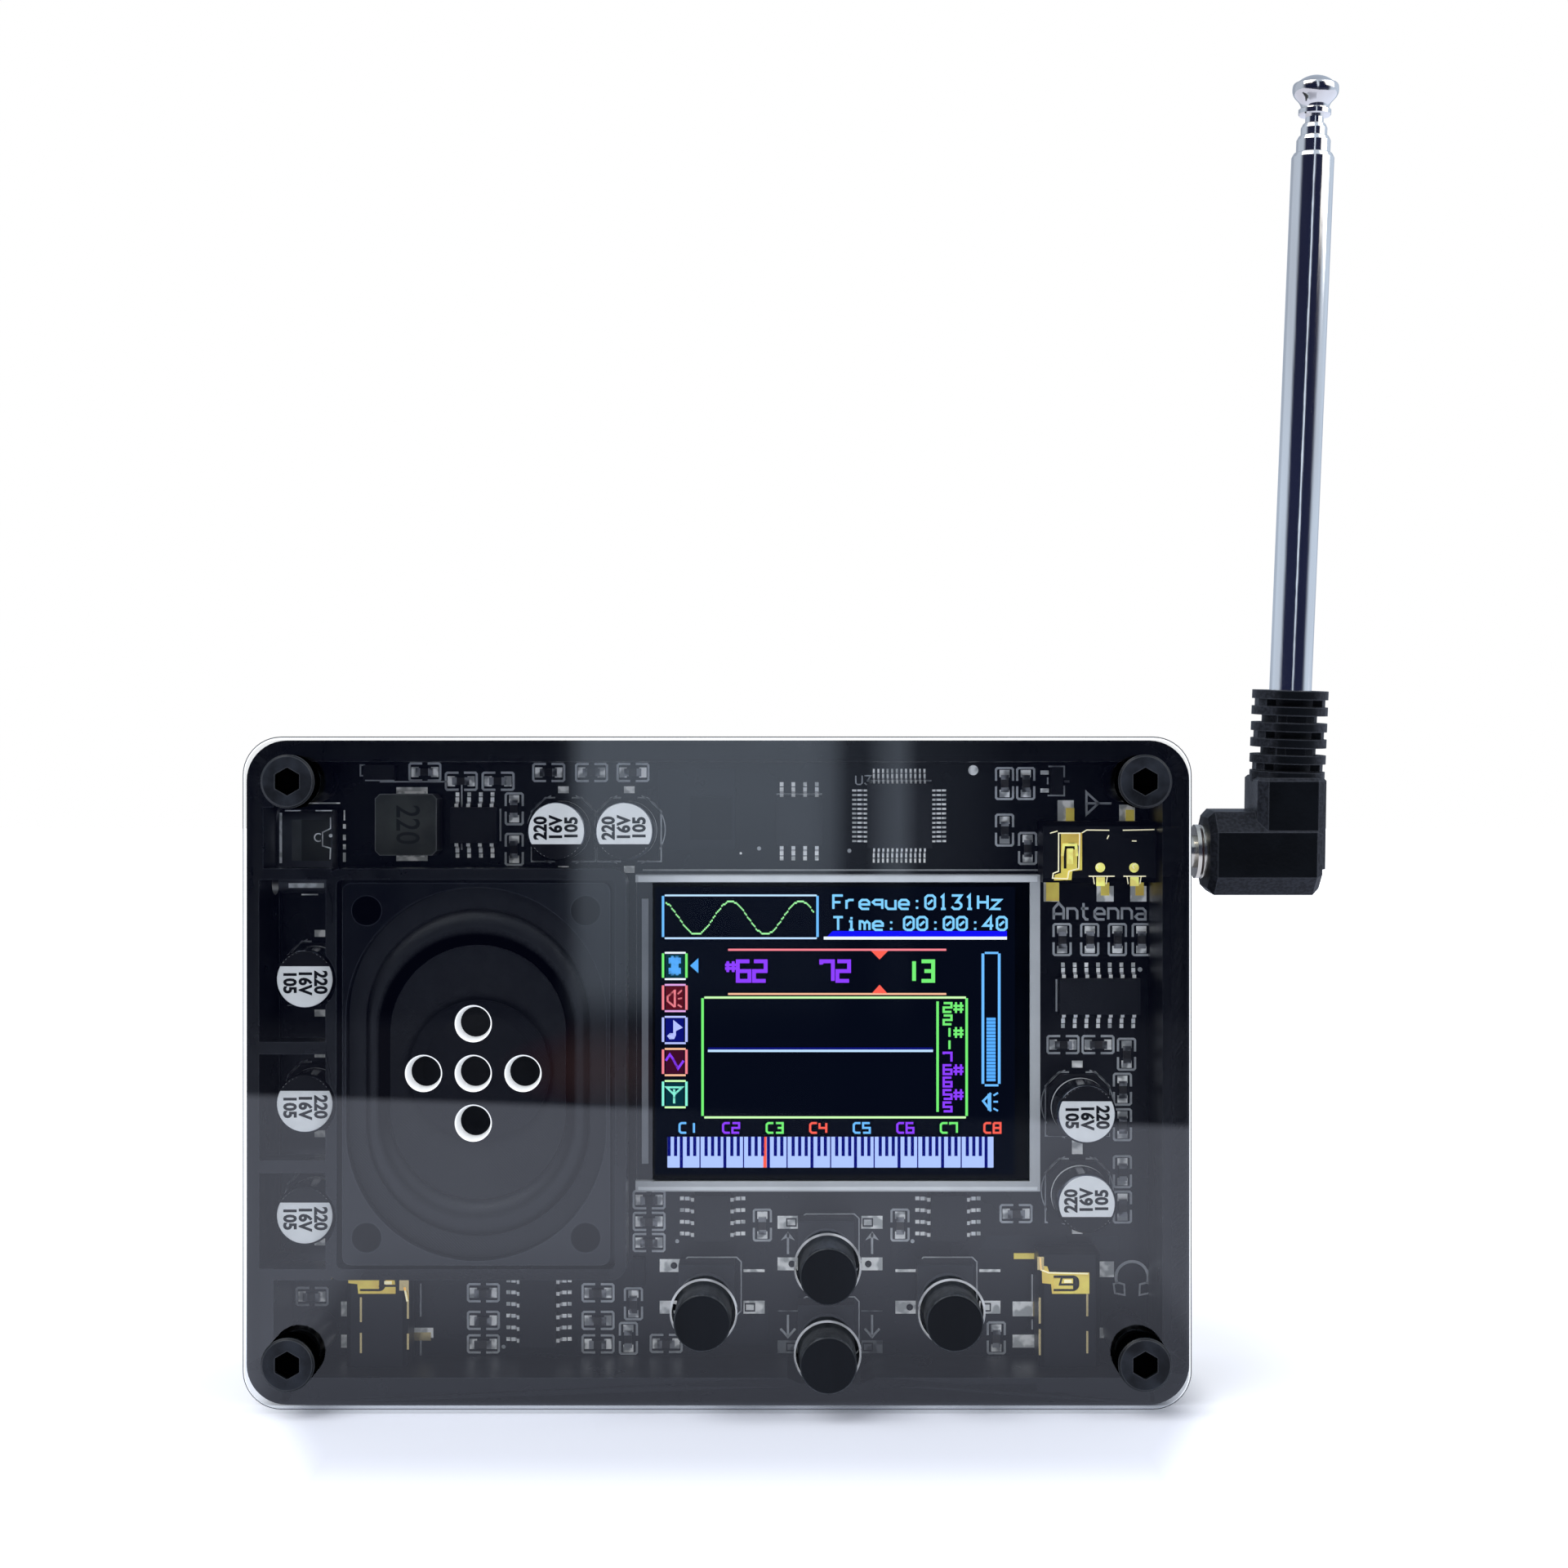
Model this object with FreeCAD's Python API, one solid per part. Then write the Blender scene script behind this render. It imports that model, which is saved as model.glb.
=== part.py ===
import FreeCAD, Part
import math
import os

Vec = FreeCAD.Vector

os.makedirs("parts", exist_ok=True)

# A pocket theremin that stands on its long bottom edge.
# X runs left to right, Y from the front panel to the back, Z up from the base.
# The origin is the middle of the base. Millimetres throughout.
# A "depth" is a distance behind the front panel's outer face.

# ------------------------------------------------------------------ driving dimensions

# case
case_width = 98.5
case_height = 69.4
case_depth = 25.0
case_corner = 4.2
wall = 2.8
rear_edge_round = 1.2

# clear front panel
panel_width = 98.0
panel_height = 69.5
panel_lift = 0.25
panel_thickness = 3.0
panel_corner = 4.0
panel_bevel = 0.3
hole_bevel = 0.12

# screws, M3 socket head
screw_x = 43.7
screw_low_z = 5.65
screw_high_z = 65.1
screw_head_radius = 2.75
screw_head_height = 3.0
screw_shank_radius = 1.45
screw_length = 18.0
screw_hole_radius = 1.65
hex_socket_across = 2.5
hex_socket_depth = 1.6
head_chamfer = 0.2
boss_radius = 2.2
boss_web = 1.4
post_radius = 3.6
insert_radius = 2.1
insert_bore = 1.5
insert_length = 4.8

# main board
board_front = 12.2
board_thickness = 1.6
board_edge = 1.4
board_clearance = 0.15

# ribs and pockets of the middle frame
rib_thickness = 1.15
rib_back = 7.0
cross_rib_places = (24.2, 36.6)
cross_rib_thickness = 1.3
seat_ledge = 1.5
left_pocket_x = -47.94
left_pocket_low = 14.2
socket_pocket_x = -47.5
socket_pocket_high = 62.4
can_relief_radius = 3.6
usb_slot_half_height = 4.7
usb_slot_front = 8.75

# notch in the bottom wall under the lowest button
notch_x = 11.85
notch_width = 9.6
notch_floor_width = 6.4
notch_depth = 0.65

# speaker, 28 x 40 mm
speaker_x = -25.3
speaker_z = 34.5
speaker_width = 28.0
speaker_height = 40.0
speaker_side_gap = 0.55
speaker_end_gap = 0.35
speaker_front = 3.2
plate_thickness = 2.6
plate_corner = 0.9
plate_hole_radius = 1.55
plate_hole_span_x = 22.9
plate_hole_span_z = 34.2
dust_cap_radius = 7.45
dust_cap_front = 5.9
dust_cap_rise = 1.3
dust_dome_radius = 6.0
fabric_thickness = 0.3
basket_depth = 9.0
basket_floor = 0.8
basket_hole_radius = 8.2
flange_front = 4.7
roll_rise = 1.2
cone_edge_depth = 4.8
cone_neck_depth = 6.6
cone_thickness = 0.4
coil_radius = 7.2
coil_bore = 6.8
coil_depths = (7.0, 11.0)
magnet_radius = 9.2
magnet_back = 14.6
magnet_gap = (6.4, 7.6)
magnet_gap_depth = 3.0

# ovals of the speaker: half width, and half the length of the straight side
recess_oval = (13.6, 5.95)
basket_oval = (12.6, 5.6)
opening_oval = (11.6, 5.4)
roll_outer_oval = (11.75, 5.45)
roll_inner_oval = (9.3, 4.15)
cone_oval = (9.25, 4.15)

# sound holes in the panel, countersunk from the front
sound_hole_radius = 1.555
countersink_radius = 1.8
countersink_depth = 2.0
sound_hole_pitch = 5.13
sound_hole_x = -25.15
sound_hole_z = 35.0

# buttons: a diamond of four
button_x = 11.4
button_spread = 12.8
button_top_z = 15.0
button_side_z = 10.3
button_low_z = 6.0
button_radius = 2.92
button_hole_radius = 3.3
button_proud = 4.5
button_length = 10.0
switch_size = 6.0
switch_height = 3.2
switch_cover_thickness = 0.3
switch_floor = 0.8
well_radius = 2.4
dome_radius = 2.2
dome_thickness = 0.2
plunger_radius = 1.75
plunger_front = 1.0
plunger_flange_radius = 2.15
plunger_flange_thickness = 0.55
plunger_foot_radius = 1.2
running_clearance = 0.05

# display module, 2.0 inch
display_left = -9.05
display_right = 34.4
display_low = 21.1
display_high = 55.1
display_front = 9.4
display_rim = 1.1
display_top_rim = 0.8
display_recess = 1.6
glass_left = -7.0
glass_gap = 0.1
face_glass_thickness = 0.7
rear_glass_thickness = 0.7
driver_x = (-8.4, -7.7)
driver_z = (24.0, 52.5)
driver_thickness = 0.4

# 3.5 mm sockets
socket_depth = 9.7
socket_length = 12.0
socket_width = 6.5
socket_height = 5.0
socket_bore = 1.8
socket_nose_radius = 2.5
socket_nose = 2.5
socket_end_wall = 0.8
socket_shoulder = 0.5
nose_hole_radius = 2.7
antenna_socket_z = 57.6
headphone_socket_x = 37.3
line_socket_x = -36.45
contact_thickness = 0.2

# solder tabs of the sockets: distance behind the mouth, width, reach beyond the body, side
antenna_tabs = [(8.5, 0.9, 1.4, 1), (2.0, 0.9, 1.2, 1), (10.4, 1.4, 2.2, -1), (4.7, 0.9, 1.6, -1),
                (0.95, 0.9, 1.6, -1)]
headphone_tabs = [(9.4, 1.6, 2.0, 1), (2.5, 1.0, 0.9, 1), (10.8, 0.6, 2.2, -1), (5.1, 1.5, 2.2, -1),
                  (1.6, 1.3, 2.2, -1)]
line_tabs = [(9.4, 1.6, 1.0, 1), (2.5, 1.0, 1.9, 1), (5.1, 1.5, 1.3, -1), (1.6, 1.3, 1.3, -1)]

# USB-C socket
usb_z = 57.6
usb_width = 8.94
usb_height = 3.16
usb_left = -47.3
usb_length = 5.8
usb_wall = 0.3
usb_round = 1.2
tongue_width = 6.7
tongue_thickness = 0.7
tongue_inset = 0.6

# antenna plug
plug_radius = 1.75
plug_length = 14.0
flange_x = 50.95
flange_thickness = 1.05
flange_radius = 2.9
groove_start = 0.4
groove_width = 0.25
groove_depth = 0.5
plug_rod_radius = 0.55
plug_bore = 1.05
plug_root = 2.5
tip_length = 3.6
tip_ring = 0.7
block_end_x = 63.9
block_size = 8.9
block_chamfer = 2.05
upright_left = 57.0
upright_right = 64.3
upright_top = 8.1
moulding_clearance = 0.03
antenna_x = 60.6
antenna_lean_front = 3.5
antenna_lean_right = 1.62

# strain relief
boot_radius = 4.0
boot_core_radius = 2.9
boot_first_ring = 9.54
boot_ring_pitch = 1.71
boot_ring_thickness = 0.92
boot_rings = 5
boot_web = 7.1
boot_root = 0.6

# telescopic sections: outer radius, bore, bottom and top along the antenna
tube_1 = {"radius": 2.22, "bore": 1.98, "bottom": 3.2, "top": 73.9}
tube_2 = {"radius": 1.775, "bore": 1.52, "bottom": 5.0, "top": 75.7}
tube_3 = {"radius": 1.375, "bore": 1.15, "bottom": 5.6, "top": 77.0}
rod = {"radius": 0.95, "bottom": 6.2, "top": 77.8}
lip_length = 1.2
collar_length = 3.0
knob_radius = 2.4
knob_top = 82.0

# surface-mount electrolytic capacitors
can_radius = 3.15
can_top_depth = 4.5
can_round = 0.35
can_groove_width = 0.6
can_groove_depth = 0.3
can_groove_height = 1.0
can_base_size = 6.6
can_base_height = 1.3
can_base_chamfer = 1.5
capacitor_places = {
    "top_left": (-17.05, 59.9),
    "top_right": (-9.9, 59.9),
    "left_high": (-43.5, 44.3),
    "left_middle": (-43.5, 31.2),
    "left_low": (-43.5, 19.45),
    "right_high": (38.75, 30.1),
    "right_low": (38.75, 20.7),
}

# gull-wing leg, as runs outward from the body against heights above the board
leg_profile = [(0, 0.85), (0.35, 0.85), (0.6, 0.15), (1.05, 0.15), (1.05, 0.0), (0.5, 0.0),
               (0.25, 0.7), (0, 0.7)]
leg_width = 0.4
narrow_leg_width = 0.22

# chips: centre, rows along X or Z, legs in a row, body width across the rows
chip_pitch = 1.27
chip_end = 1.1
chip_height = 1.5
chip_standoff = 0.1
chip_places = {
    "charger": (-26.65, 60.4, "X", 4, 3.9),
    "memory": (8.55, 60.8, "X", 4, 5.3),
    "filter": (41.0, 41.9, "X", 7, 3.9),
    "left_amplifier": (-0.85, 17.95, "Z", 4, 3.9),
    "right_amplifier": (24.7, 17.95, "Z", 4, 3.9),
    "mixer": (-19.7, 8.4, "Z", 7, 3.9),
}
processor_x = 19.4
processor_z = 61.4
processor_size = 7.0
processor_pitch = 0.5
processor_legs = 12
processor_height = 1.4
inductor_x = -33.5
inductor_z = 60.5
inductor_size = 6.6
inductor_height = 4.0
inductor_chamfer = 0.5
transistor_size = (1.3, 2.9, 1.0)
transistor_places = [(36.45, 65.15), (-8.85, 12.0)]
diode_size = (3.4, 1.6, 1.1)
diode_x = -36.9
diode_z = 66.1
flat_standoff = 0.05

# small resistors and capacitors, 1.6 x 0.8 mm
chip_part_length = 1.6
chip_part_width = 0.8
chip_part_height = 0.5
lying_parts = [
    (-32.1, 66.15), (-28.15, 65.15), (-24.15, 65.15), (-18.65, 66.1), (-14.0, 66.1), (-9.5, 66.1),
    (-7.75, 19.7), (-7.75, 17.35), (-7.75, 15.05), (37.2, 36.55), (41.0, 36.55), (32.1, 18.2),
    (-25.75, 9.6), (-25.75, 6.6), (-25.75, 4.05), (-13.3, 9.6), (-13.3, 6.6), (-13.3, 4.05),
    (-5.9, 4.1), (-44.35, 9.2),
]
standing_parts = [
    (-22.4, 62.15), (-22.4, 57.75), (30.85, 64.9), (33.15, 64.9), (30.85, 59.85), (33.35, 57.85),
    (37.1, 47.95), (40.1, 47.95), (43.1, 47.95), (45.7, 47.95), (44.1, 35.5), (43.65, 31.7),
    (43.65, 27.85), (43.65, 22.75), (43.65, 18.9), (4.55, 16.95), (19.5, 16.95), (-9.45, 8.4),
    (-10.0, 4.65), (29.95, 4.7),
]

# battery pouch behind the board
battery_width = 50.0
battery_height = 34.0
battery_thickness = 6.5
battery_x = 14.0
battery_z = 33.0
battery_front = 15.2
pouch_round = 1.8
fence_gap = 0.5
fence_thickness = 1.0
fence_height = 2.0

# ------------------------------------------------------------------ worked-out values

half_width = case_width / 2
half_depth = case_depth / 2
board_back = board_front + board_thickness
socket_y = socket_depth - half_depth
inner_x = half_width - wall
inner_low = wall
inner_high = case_height - wall + 0.6
flange_back = flange_front + fabric_thickness
window_left = speaker_x - speaker_width / 2 - speaker_side_gap
window_right = speaker_x + speaker_width / 2 + speaker_side_gap
window_low = speaker_z - speaker_height / 2 - speaker_end_gap
window_high = speaker_z + speaker_height / 2 + speaker_end_gap
screw_places = [(side * screw_x, z) for side in (-1, 1) for z in (screw_low_z, screw_high_z)]
button_places = {
    "up": (button_x, button_top_z),
    "down": (button_x, button_low_z),
    "left": (button_x - button_spread, button_side_z),
    "right": (button_x + button_spread, button_side_z),
}

# ------------------------------------------------------------------ shape helpers


def y_at(depth):
    """Y of a plane that lies the given depth behind the panel's outer face."""
    return depth - half_depth


def box(x_range, z_range, depths):
    """Plain block between two X, two Z and two depths."""
    size = (x_range[1] - x_range[0], depths[1] - depths[0], z_range[1] - z_range[0])
    return Part.makeBox(*size, Vec(x_range[0], y_at(depths[0]), z_range[0]))


def edges_along(shape, axis):
    """Straight edges of a shape that run along one row axis."""
    found = []
    for edge in shape.Edges:
        direction = edge.Vertexes[-1].Point - edge.Vertexes[0].Point
        if direction.Length > 0 and abs(direction.normalize().dot(axis)) > 0.999:
            found.append(edge)
    return found


def rounded_box(x_range, z_range, depths, radius):
    """Block whose four edges along Y are rounded."""
    block = box(x_range, z_range, depths)
    return block.makeFillet(radius, edges_along(block, Vec(0, 1, 0)))


def post(x, z, radius, depths):
    """Round post along Y."""
    return Part.makeCylinder(radius, depths[1] - depths[0], Vec(x, y_at(depths[0]), z), Vec(0, 1, 0))


def edges_at_depth(shape, depth):
    """Edges that lie flat in the plane at one depth."""
    plane = y_at(depth)
    flat = [e for e in shape.Edges if e.BoundBox.YLength < 1e-6]
    return [e for e in flat if abs(e.BoundBox.YMin - plane) < 1e-6]


def oval(size, depths):
    """Prism with straight sides and round ends, centred on the speaker."""
    half_oval_width, straight = size
    low, high = y_at(depths[0]), depths[1] - depths[0]
    ends = []
    for sign in (-1, 1):
        centre = Vec(speaker_x, low, speaker_z + sign * straight)
        ends.append(Part.makeCylinder(half_oval_width, high, centre, Vec(0, 1, 0)))
    middle = box((speaker_x - half_oval_width, speaker_x + half_oval_width),
                 (speaker_z - straight, speaker_z + straight), depths)
    return ends[0].fuse([ends[1], middle]).removeSplitter()


def oval_wire(size, depth):
    """Outline of one of the speaker's ovals as four edges."""
    half_oval_width, straight = size
    y = y_at(depth)
    high, low = speaker_z + straight, speaker_z - straight
    left, right = speaker_x - half_oval_width, speaker_x + half_oval_width
    top = Part.Arc(Vec(left, y, high), Vec(speaker_x, y, high + half_oval_width), Vec(right, y, high))
    bottom = Part.Arc(Vec(right, y, low), Vec(speaker_x, y, low - half_oval_width), Vec(left, y, low))
    return Part.Wire([top.toShape(), Part.makeLine(Vec(right, y, high), Vec(right, y, low)),
                      bottom.toShape(), Part.makeLine(Vec(left, y, low), Vec(left, y, high))])


def wire(points):
    """Closed wire of straight edges through (radius, height) points in the XZ plane."""
    corners = [Vec(r, 0, h) for r, h in points]
    return Part.makePolygon(corners + corners[:1])


def turned(points, base=Vec(0, 0, 0)):
    """Solid of revolution about the vertical axis through base, from (radius, height) points."""
    face = Part.Face(wire(points))
    solid = face.revolve(Vec(0, 0, 0), Vec(0, 0, 1), 360)
    solid.translate(base)
    return solid


def group(solids):
    """Several separate solids kept in one sub-part."""
    return Part.makeCompound(solids)


def save(name, shape):
    """Write one sub-part."""
    shape.exportStep("parts/%s.step" % name)


# ------------------------------------------------------------------ case


def sound_hole(x, z):
    """Countersunk hole through the panel."""
    front = Vec(x, y_at(0), z)
    cone = Part.makeCone(countersink_radius, sound_hole_radius, countersink_depth, front, Vec(0, 1, 0))
    return cone.fuse(post(x, z, sound_hole_radius, (countersink_depth, panel_thickness)))


def front_panel():
    """Clear cover with a bevelled front edge and lightly bevelled button and sound holes."""
    plate = rounded_box((-panel_width / 2, panel_width / 2), (panel_lift, panel_lift + panel_height),
                        (0, panel_thickness), panel_corner)
    plate = plate.makeChamfer(panel_bevel, edges_at_depth(plate, 0))
    through = (-1, panel_thickness + 1)
    offsets = [(0, 0), (1, 0), (-1, 0), (0, 1), (0, -1)]
    holes = [sound_hole(sound_hole_x + i * sound_hole_pitch, sound_hole_z + k * sound_hole_pitch)
             for i, k in offsets]
    holes += [post(x, z, button_hole_radius, through) for x, z in button_places.values()]
    plate = plate.cut(holes)
    hole_rims = [e for e in edges_at_depth(plate, 0) if len(e.Vertexes) == 1]
    plate = plate.makeChamfer(hole_bevel, hole_rims)
    return plate.cut([post(x, z, screw_hole_radius, through) for x, z in screw_places])


def frame_ribs():
    """Thin upright walls that divide the frame's windows, with the speaker's seat."""
    depths = (panel_thickness, rib_back)
    low, high = window_low - rib_thickness, window_high + rib_thickness
    left, right = window_left - rib_thickness, window_right + rib_thickness
    speaker_wall = rounded_box((left, right), (low, high), depths, 1.6)
    opening = rounded_box((window_left, window_right), (window_low, window_high), depths, 0.6)
    speaker_wall = speaker_wall.cut(opening)
    seat_depths = (speaker_front + plate_thickness, rib_back)
    seat = box((window_left, window_right), (window_low, window_high), seat_depths)
    seat = seat.cut(rounded_box((window_left + seat_ledge, window_right - seat_ledge),
                                (window_low + seat_ledge, window_high - seat_ledge), seat_depths, 6.0))
    reach = (left_pocket_x - 0.5, left + rib_thickness / 2)
    rows = [(low, low + rib_thickness), (high - rib_thickness, high)]
    rows += [(z, z + cross_rib_thickness) for z in cross_rib_places]
    return speaker_wall.fuse([seat] + [box(reach, row, depths) for row in rows])


def bottom_notch():
    """Notch with slanted ends that clears the lowest button, cut down into the bottom wall."""
    mouth, floor = inner_low + 0.1, inner_low - notch_depth
    outline = [(-notch_width / 2, mouth), (notch_width / 2, mouth), (notch_floor_width / 2, floor),
               (-notch_floor_width / 2, floor)]
    corners = [Vec(notch_x + x, y_at(panel_thickness), z) for x, z in outline]
    face = Part.Face(Part.makePolygon(corners + corners[:1]))
    return face.extrude(Vec(0, board_front - panel_thickness, 0))


def mid_frame():
    """Moulded ring between the panel and the back cover: walls, pockets, ribs and screw bosses."""
    front, back = panel_thickness, board_back
    ring = rounded_box((-half_width, half_width), (0, case_height), (front, back), case_corner)
    ring = ring.cut(rounded_box((-inner_x, inner_x), (inner_low, inner_high), (front, back), 1.0))
    seat_x = half_width - board_edge
    ring = ring.cut(rounded_box((-seat_x, seat_x), (board_edge, case_height - board_edge),
                                (board_front, back), 2.0))
    pockets = [box((left_pocket_x, 0), (left_pocket_low, window_high), (front, board_front)),
               box((socket_pocket_x, 0), (window_high, socket_pocket_high), (front, board_front))]
    ring = ring.cut(pockets + [bottom_notch()])
    bosses = [post(x, z, boss_radius, (front, board_front)) for x, z in screw_places]
    web_z = (screw_low_z - boss_web / 2, screw_low_z + boss_web / 2)
    webs = [box(sorted((side * screw_x, side * (inner_x + 0.5))), web_z, (front, board_front))
            for side in (-1, 1)]
    frame = ring.fuse(bosses + webs + [frame_ribs()])
    reliefs = [capacitor_places[key] for key in ("left_high", "left_middle", "left_low")]
    frame = frame.cut([post(x, z, can_relief_radius, (front, rib_back)) for x, z in reliefs])
    frame = frame.cut([post(x, z, screw_hole_radius, (front, back)) for x, z in screw_places])
    frame = frame.cut(socket_holes())
    return frame.removeSplitter()


def socket_holes():
    """Round holes for the three socket noses and the slot for the USB-C socket."""
    reach = wall + 2
    holes = [Part.makeCylinder(nose_hole_radius, reach, Vec(x, socket_y, -1), Vec(0, 0, 1))
             for x in (headphone_socket_x, line_socket_x)]
    side = Vec(inner_x - 1, socket_y, antenna_socket_z)
    holes.append(Part.makeCylinder(nose_hole_radius, reach, side, Vec(1, 0, 0)))
    slot_z = (usb_z - usb_slot_half_height, usb_z + usb_slot_half_height)
    slot = box((-half_width - 1, -inner_x), slot_z, (usb_slot_front, board_front + 0.1))
    holes.append(slot.makeFillet(1.6, edges_along(slot, Vec(1, 0, 0))))
    return holes


def battery_box(margin, depths):
    """Block the size of the battery with a margin all round."""
    reach_x, reach_z = battery_width / 2 + margin, battery_height / 2 + margin
    x_range = (battery_x - reach_x, battery_x + reach_x)
    return box(x_range, (battery_z - reach_z, battery_z + reach_z), depths)


def back_cover():
    """Closed tray with four screw posts and a low fence round the battery."""
    front, floor = board_back, case_depth - wall + 0.4
    shell = rounded_box((-half_width, half_width), (0, case_height), (front, case_depth), case_corner)
    shell = shell.makeFillet(rear_edge_round, edges_at_depth(shell, case_depth))
    shell = shell.cut(rounded_box((-inner_x, inner_x), (inner_low, inner_high), (front, floor), 1.0))
    posts = [post(x, z, post_radius, (front, floor)) for x, z in screw_places]
    fence = battery_box(fence_gap + fence_thickness, (floor - fence_height, floor))
    fence = fence.cut(battery_box(fence_gap, (floor - fence_height, floor)))
    shell = shell.fuse(posts + [fence])
    for x, z in screw_places:
        shell = shell.cut([post(x, z, insert_radius, (front, front + insert_length)),
                           post(x, z, screw_hole_radius, (front, front + insert_length + 1.5))])
    return shell.removeSplitter()


def cover_screw(x, z):
    """Socket head cap screw along Y, its head proud of the panel."""
    head_top = -screw_head_height
    head = post(x, z, screw_head_radius, (head_top, 0))
    head = head.makeChamfer(head_chamfer, edges_at_depth(head, head_top))
    shank = post(x, z, screw_shank_radius, (0, screw_length))
    corner = hex_socket_across / 2 / math.cos(math.radians(30))
    corners = [Vec(x + corner * math.cos(math.radians(60 * k + 30)), y_at(head_top),
                   z + corner * math.sin(math.radians(60 * k + 30))) for k in range(6)]
    hexagon = Part.Face(Part.makePolygon(corners + corners[:1]))
    return head.fuse(shank).cut(hexagon.extrude(Vec(0, hex_socket_depth, 0)))


def thread_insert(x, z):
    """Brass insert pressed into a post of the back cover."""
    depths = (board_back, board_back + insert_length)
    return post(x, z, insert_radius, depths).cut(post(x, z, insert_bore, depths))


# ------------------------------------------------------------------ main board


def main_board():
    """Board with its screw holes and the round cut-out for the speaker magnet."""
    edge_x = half_width - board_edge - board_clearance
    low = board_edge + board_clearance
    depths = (board_front, board_back)
    board = rounded_box((-edge_x, edge_x), (low, case_height - low), depths, 2.0)
    holes = [post(x, z, screw_hole_radius, depths) for x, z in screw_places]
    holes.append(post(speaker_x, speaker_z, 10.0, depths))
    return board.cut(holes)


def on_board(x_size, z_size, height, x, z, standoff=0.0):
    """Block of the given size that stands on the board's front face."""
    back = board_front - standoff
    return box((x - x_size / 2, x + x_size / 2), (z - z_size / 2, z + z_size / 2), (back - height, back))


def capacitor_can(x, z):
    """Aluminium can with a rounded rim and a rolled groove above its base."""
    top, bottom = can_top_depth, board_front - can_base_height
    can = post(x, z, can_radius, (top, bottom))
    can = can.makeFillet(can_round, edges_at_depth(can, top))
    depths = (bottom - can_groove_height - can_groove_width, bottom - can_groove_height)
    groove = post(x, z, can_radius + 1, depths).cut(post(x, z, can_radius - can_groove_depth, depths))
    return can.cut(groove)


def capacitor_base(x, z):
    """Square moulded base with two chamfered corners."""
    base = on_board(can_base_size, can_base_size, can_base_height, x, z)
    front_corners = [e for e in edges_along(base, Vec(0, 1, 0)) if e.Vertexes[0].Point.z > z]
    return base.makeChamfer(can_base_chamfer, front_corners)


def gull_leg(x, z, outward, body_half, width):
    """Bent leg from a chip's side wall down to the board; outward is a unit step in X or Z."""
    across = Vec(abs(outward.z), 0, abs(outward.x)) * width
    start = Vec(x, 0, z) + outward * body_half - across * 0.5
    corners = [start + outward * run + Vec(0, y_at(board_front) - rise, 0) for run, rise in leg_profile]
    return Part.Face(Part.makePolygon(corners + corners[:1])).extrude(across)


def chip_rows(x, z, rows, count, body_width):
    """Legs of a two-row chip. Rows along X stand above and below it, rows along Z beside it."""
    legs = []
    for k in range(count):
        along = (k - (count - 1) / 2) * chip_pitch
        for side in (-1, 1):
            if rows == "X":
                legs.append(gull_leg(x + along, z, Vec(0, 0, side), body_width / 2, leg_width))
            else:
                legs.append(gull_leg(x, z + along, Vec(side, 0, 0), body_width / 2, leg_width))
    return legs


def processor_rows():
    """Legs on all four sides of the quad flat pack."""
    legs = []
    for k in range(processor_legs):
        along = (k - (processor_legs - 1) / 2) * processor_pitch
        for side in (-1, 1):
            legs.append(gull_leg(processor_x + along, processor_z, Vec(0, 0, side),
                                 processor_size / 2, narrow_leg_width))
            legs.append(gull_leg(processor_x, processor_z + along, Vec(side, 0, 0),
                                 processor_size / 2, narrow_leg_width))
    return legs


def chip_packages():
    """Moulded bodies of all the chips, transistors and the diode."""
    bodies = []
    for x, z, rows, count, body_width in chip_places.values():
        length = (count - 1) * chip_pitch + chip_end
        x_size, z_size = (length, body_width) if rows == "X" else (body_width, length)
        bodies.append(on_board(x_size, z_size, chip_height, x, z, chip_standoff))
    bodies.append(on_board(processor_size, processor_size, processor_height, processor_x,
                           processor_z, chip_standoff))
    bodies += [on_board(*transistor_size, x, z, flat_standoff) for x, z in transistor_places]
    bodies.append(on_board(*diode_size, diode_x, diode_z, flat_standoff))
    return group(bodies)


def chip_legs():
    """Every gull-wing leg on the board."""
    legs = processor_rows()
    for x, z, rows, count, body_width in chip_places.values():
        legs += chip_rows(x, z, rows, count, body_width)
    return group(legs)


def chip_parts():
    """Small two-ended parts, lying or standing."""
    parts = [on_board(chip_part_length, chip_part_width, chip_part_height, x, z)
             for x, z in lying_parts]
    parts += [on_board(chip_part_width, chip_part_length, chip_part_height, x, z)
              for x, z in standing_parts]
    return group(parts)


def power_inductor():
    """Moulded square inductor with chamfered corners."""
    block = on_board(inductor_size, inductor_size, inductor_height, inductor_x, inductor_z)
    return block.makeChamfer(inductor_chamfer, edges_along(block, Vec(0, 1, 0)))


# ------------------------------------------------------------------ display


def display_frame():
    """White tray of the display, open at the left where the glass ledge comes out."""
    back = board_front - 0.1
    tray = box((display_left, display_right), (display_low, display_high), (display_front, back))
    recess = box((display_left, display_right - display_rim),
                 (display_low + display_rim, display_high - display_top_rim),
                 (display_front, display_front + display_recess))
    return tray.cut(recess)


def display_glass():
    """Two bonded sheets: the rear one has a ledge at the left for the driver chip."""
    right = display_right - display_rim - glass_gap
    z_range = (display_low + display_rim + glass_gap, display_high - display_top_rim - glass_gap)
    back = display_front + display_recess
    middle = back - rear_glass_thickness
    rear = box((display_left + glass_gap, right), z_range, (middle, back))
    face = box((glass_left, right), z_range, (middle - face_glass_thickness, middle))
    return rear.fuse(face)


def display_driver():
    """Long thin driver chip on the glass ledge."""
    ledge = display_front + display_recess - rear_glass_thickness
    return box(driver_x, driver_z, (ledge - driver_thickness, ledge))


# ------------------------------------------------------------------ speaker


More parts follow.
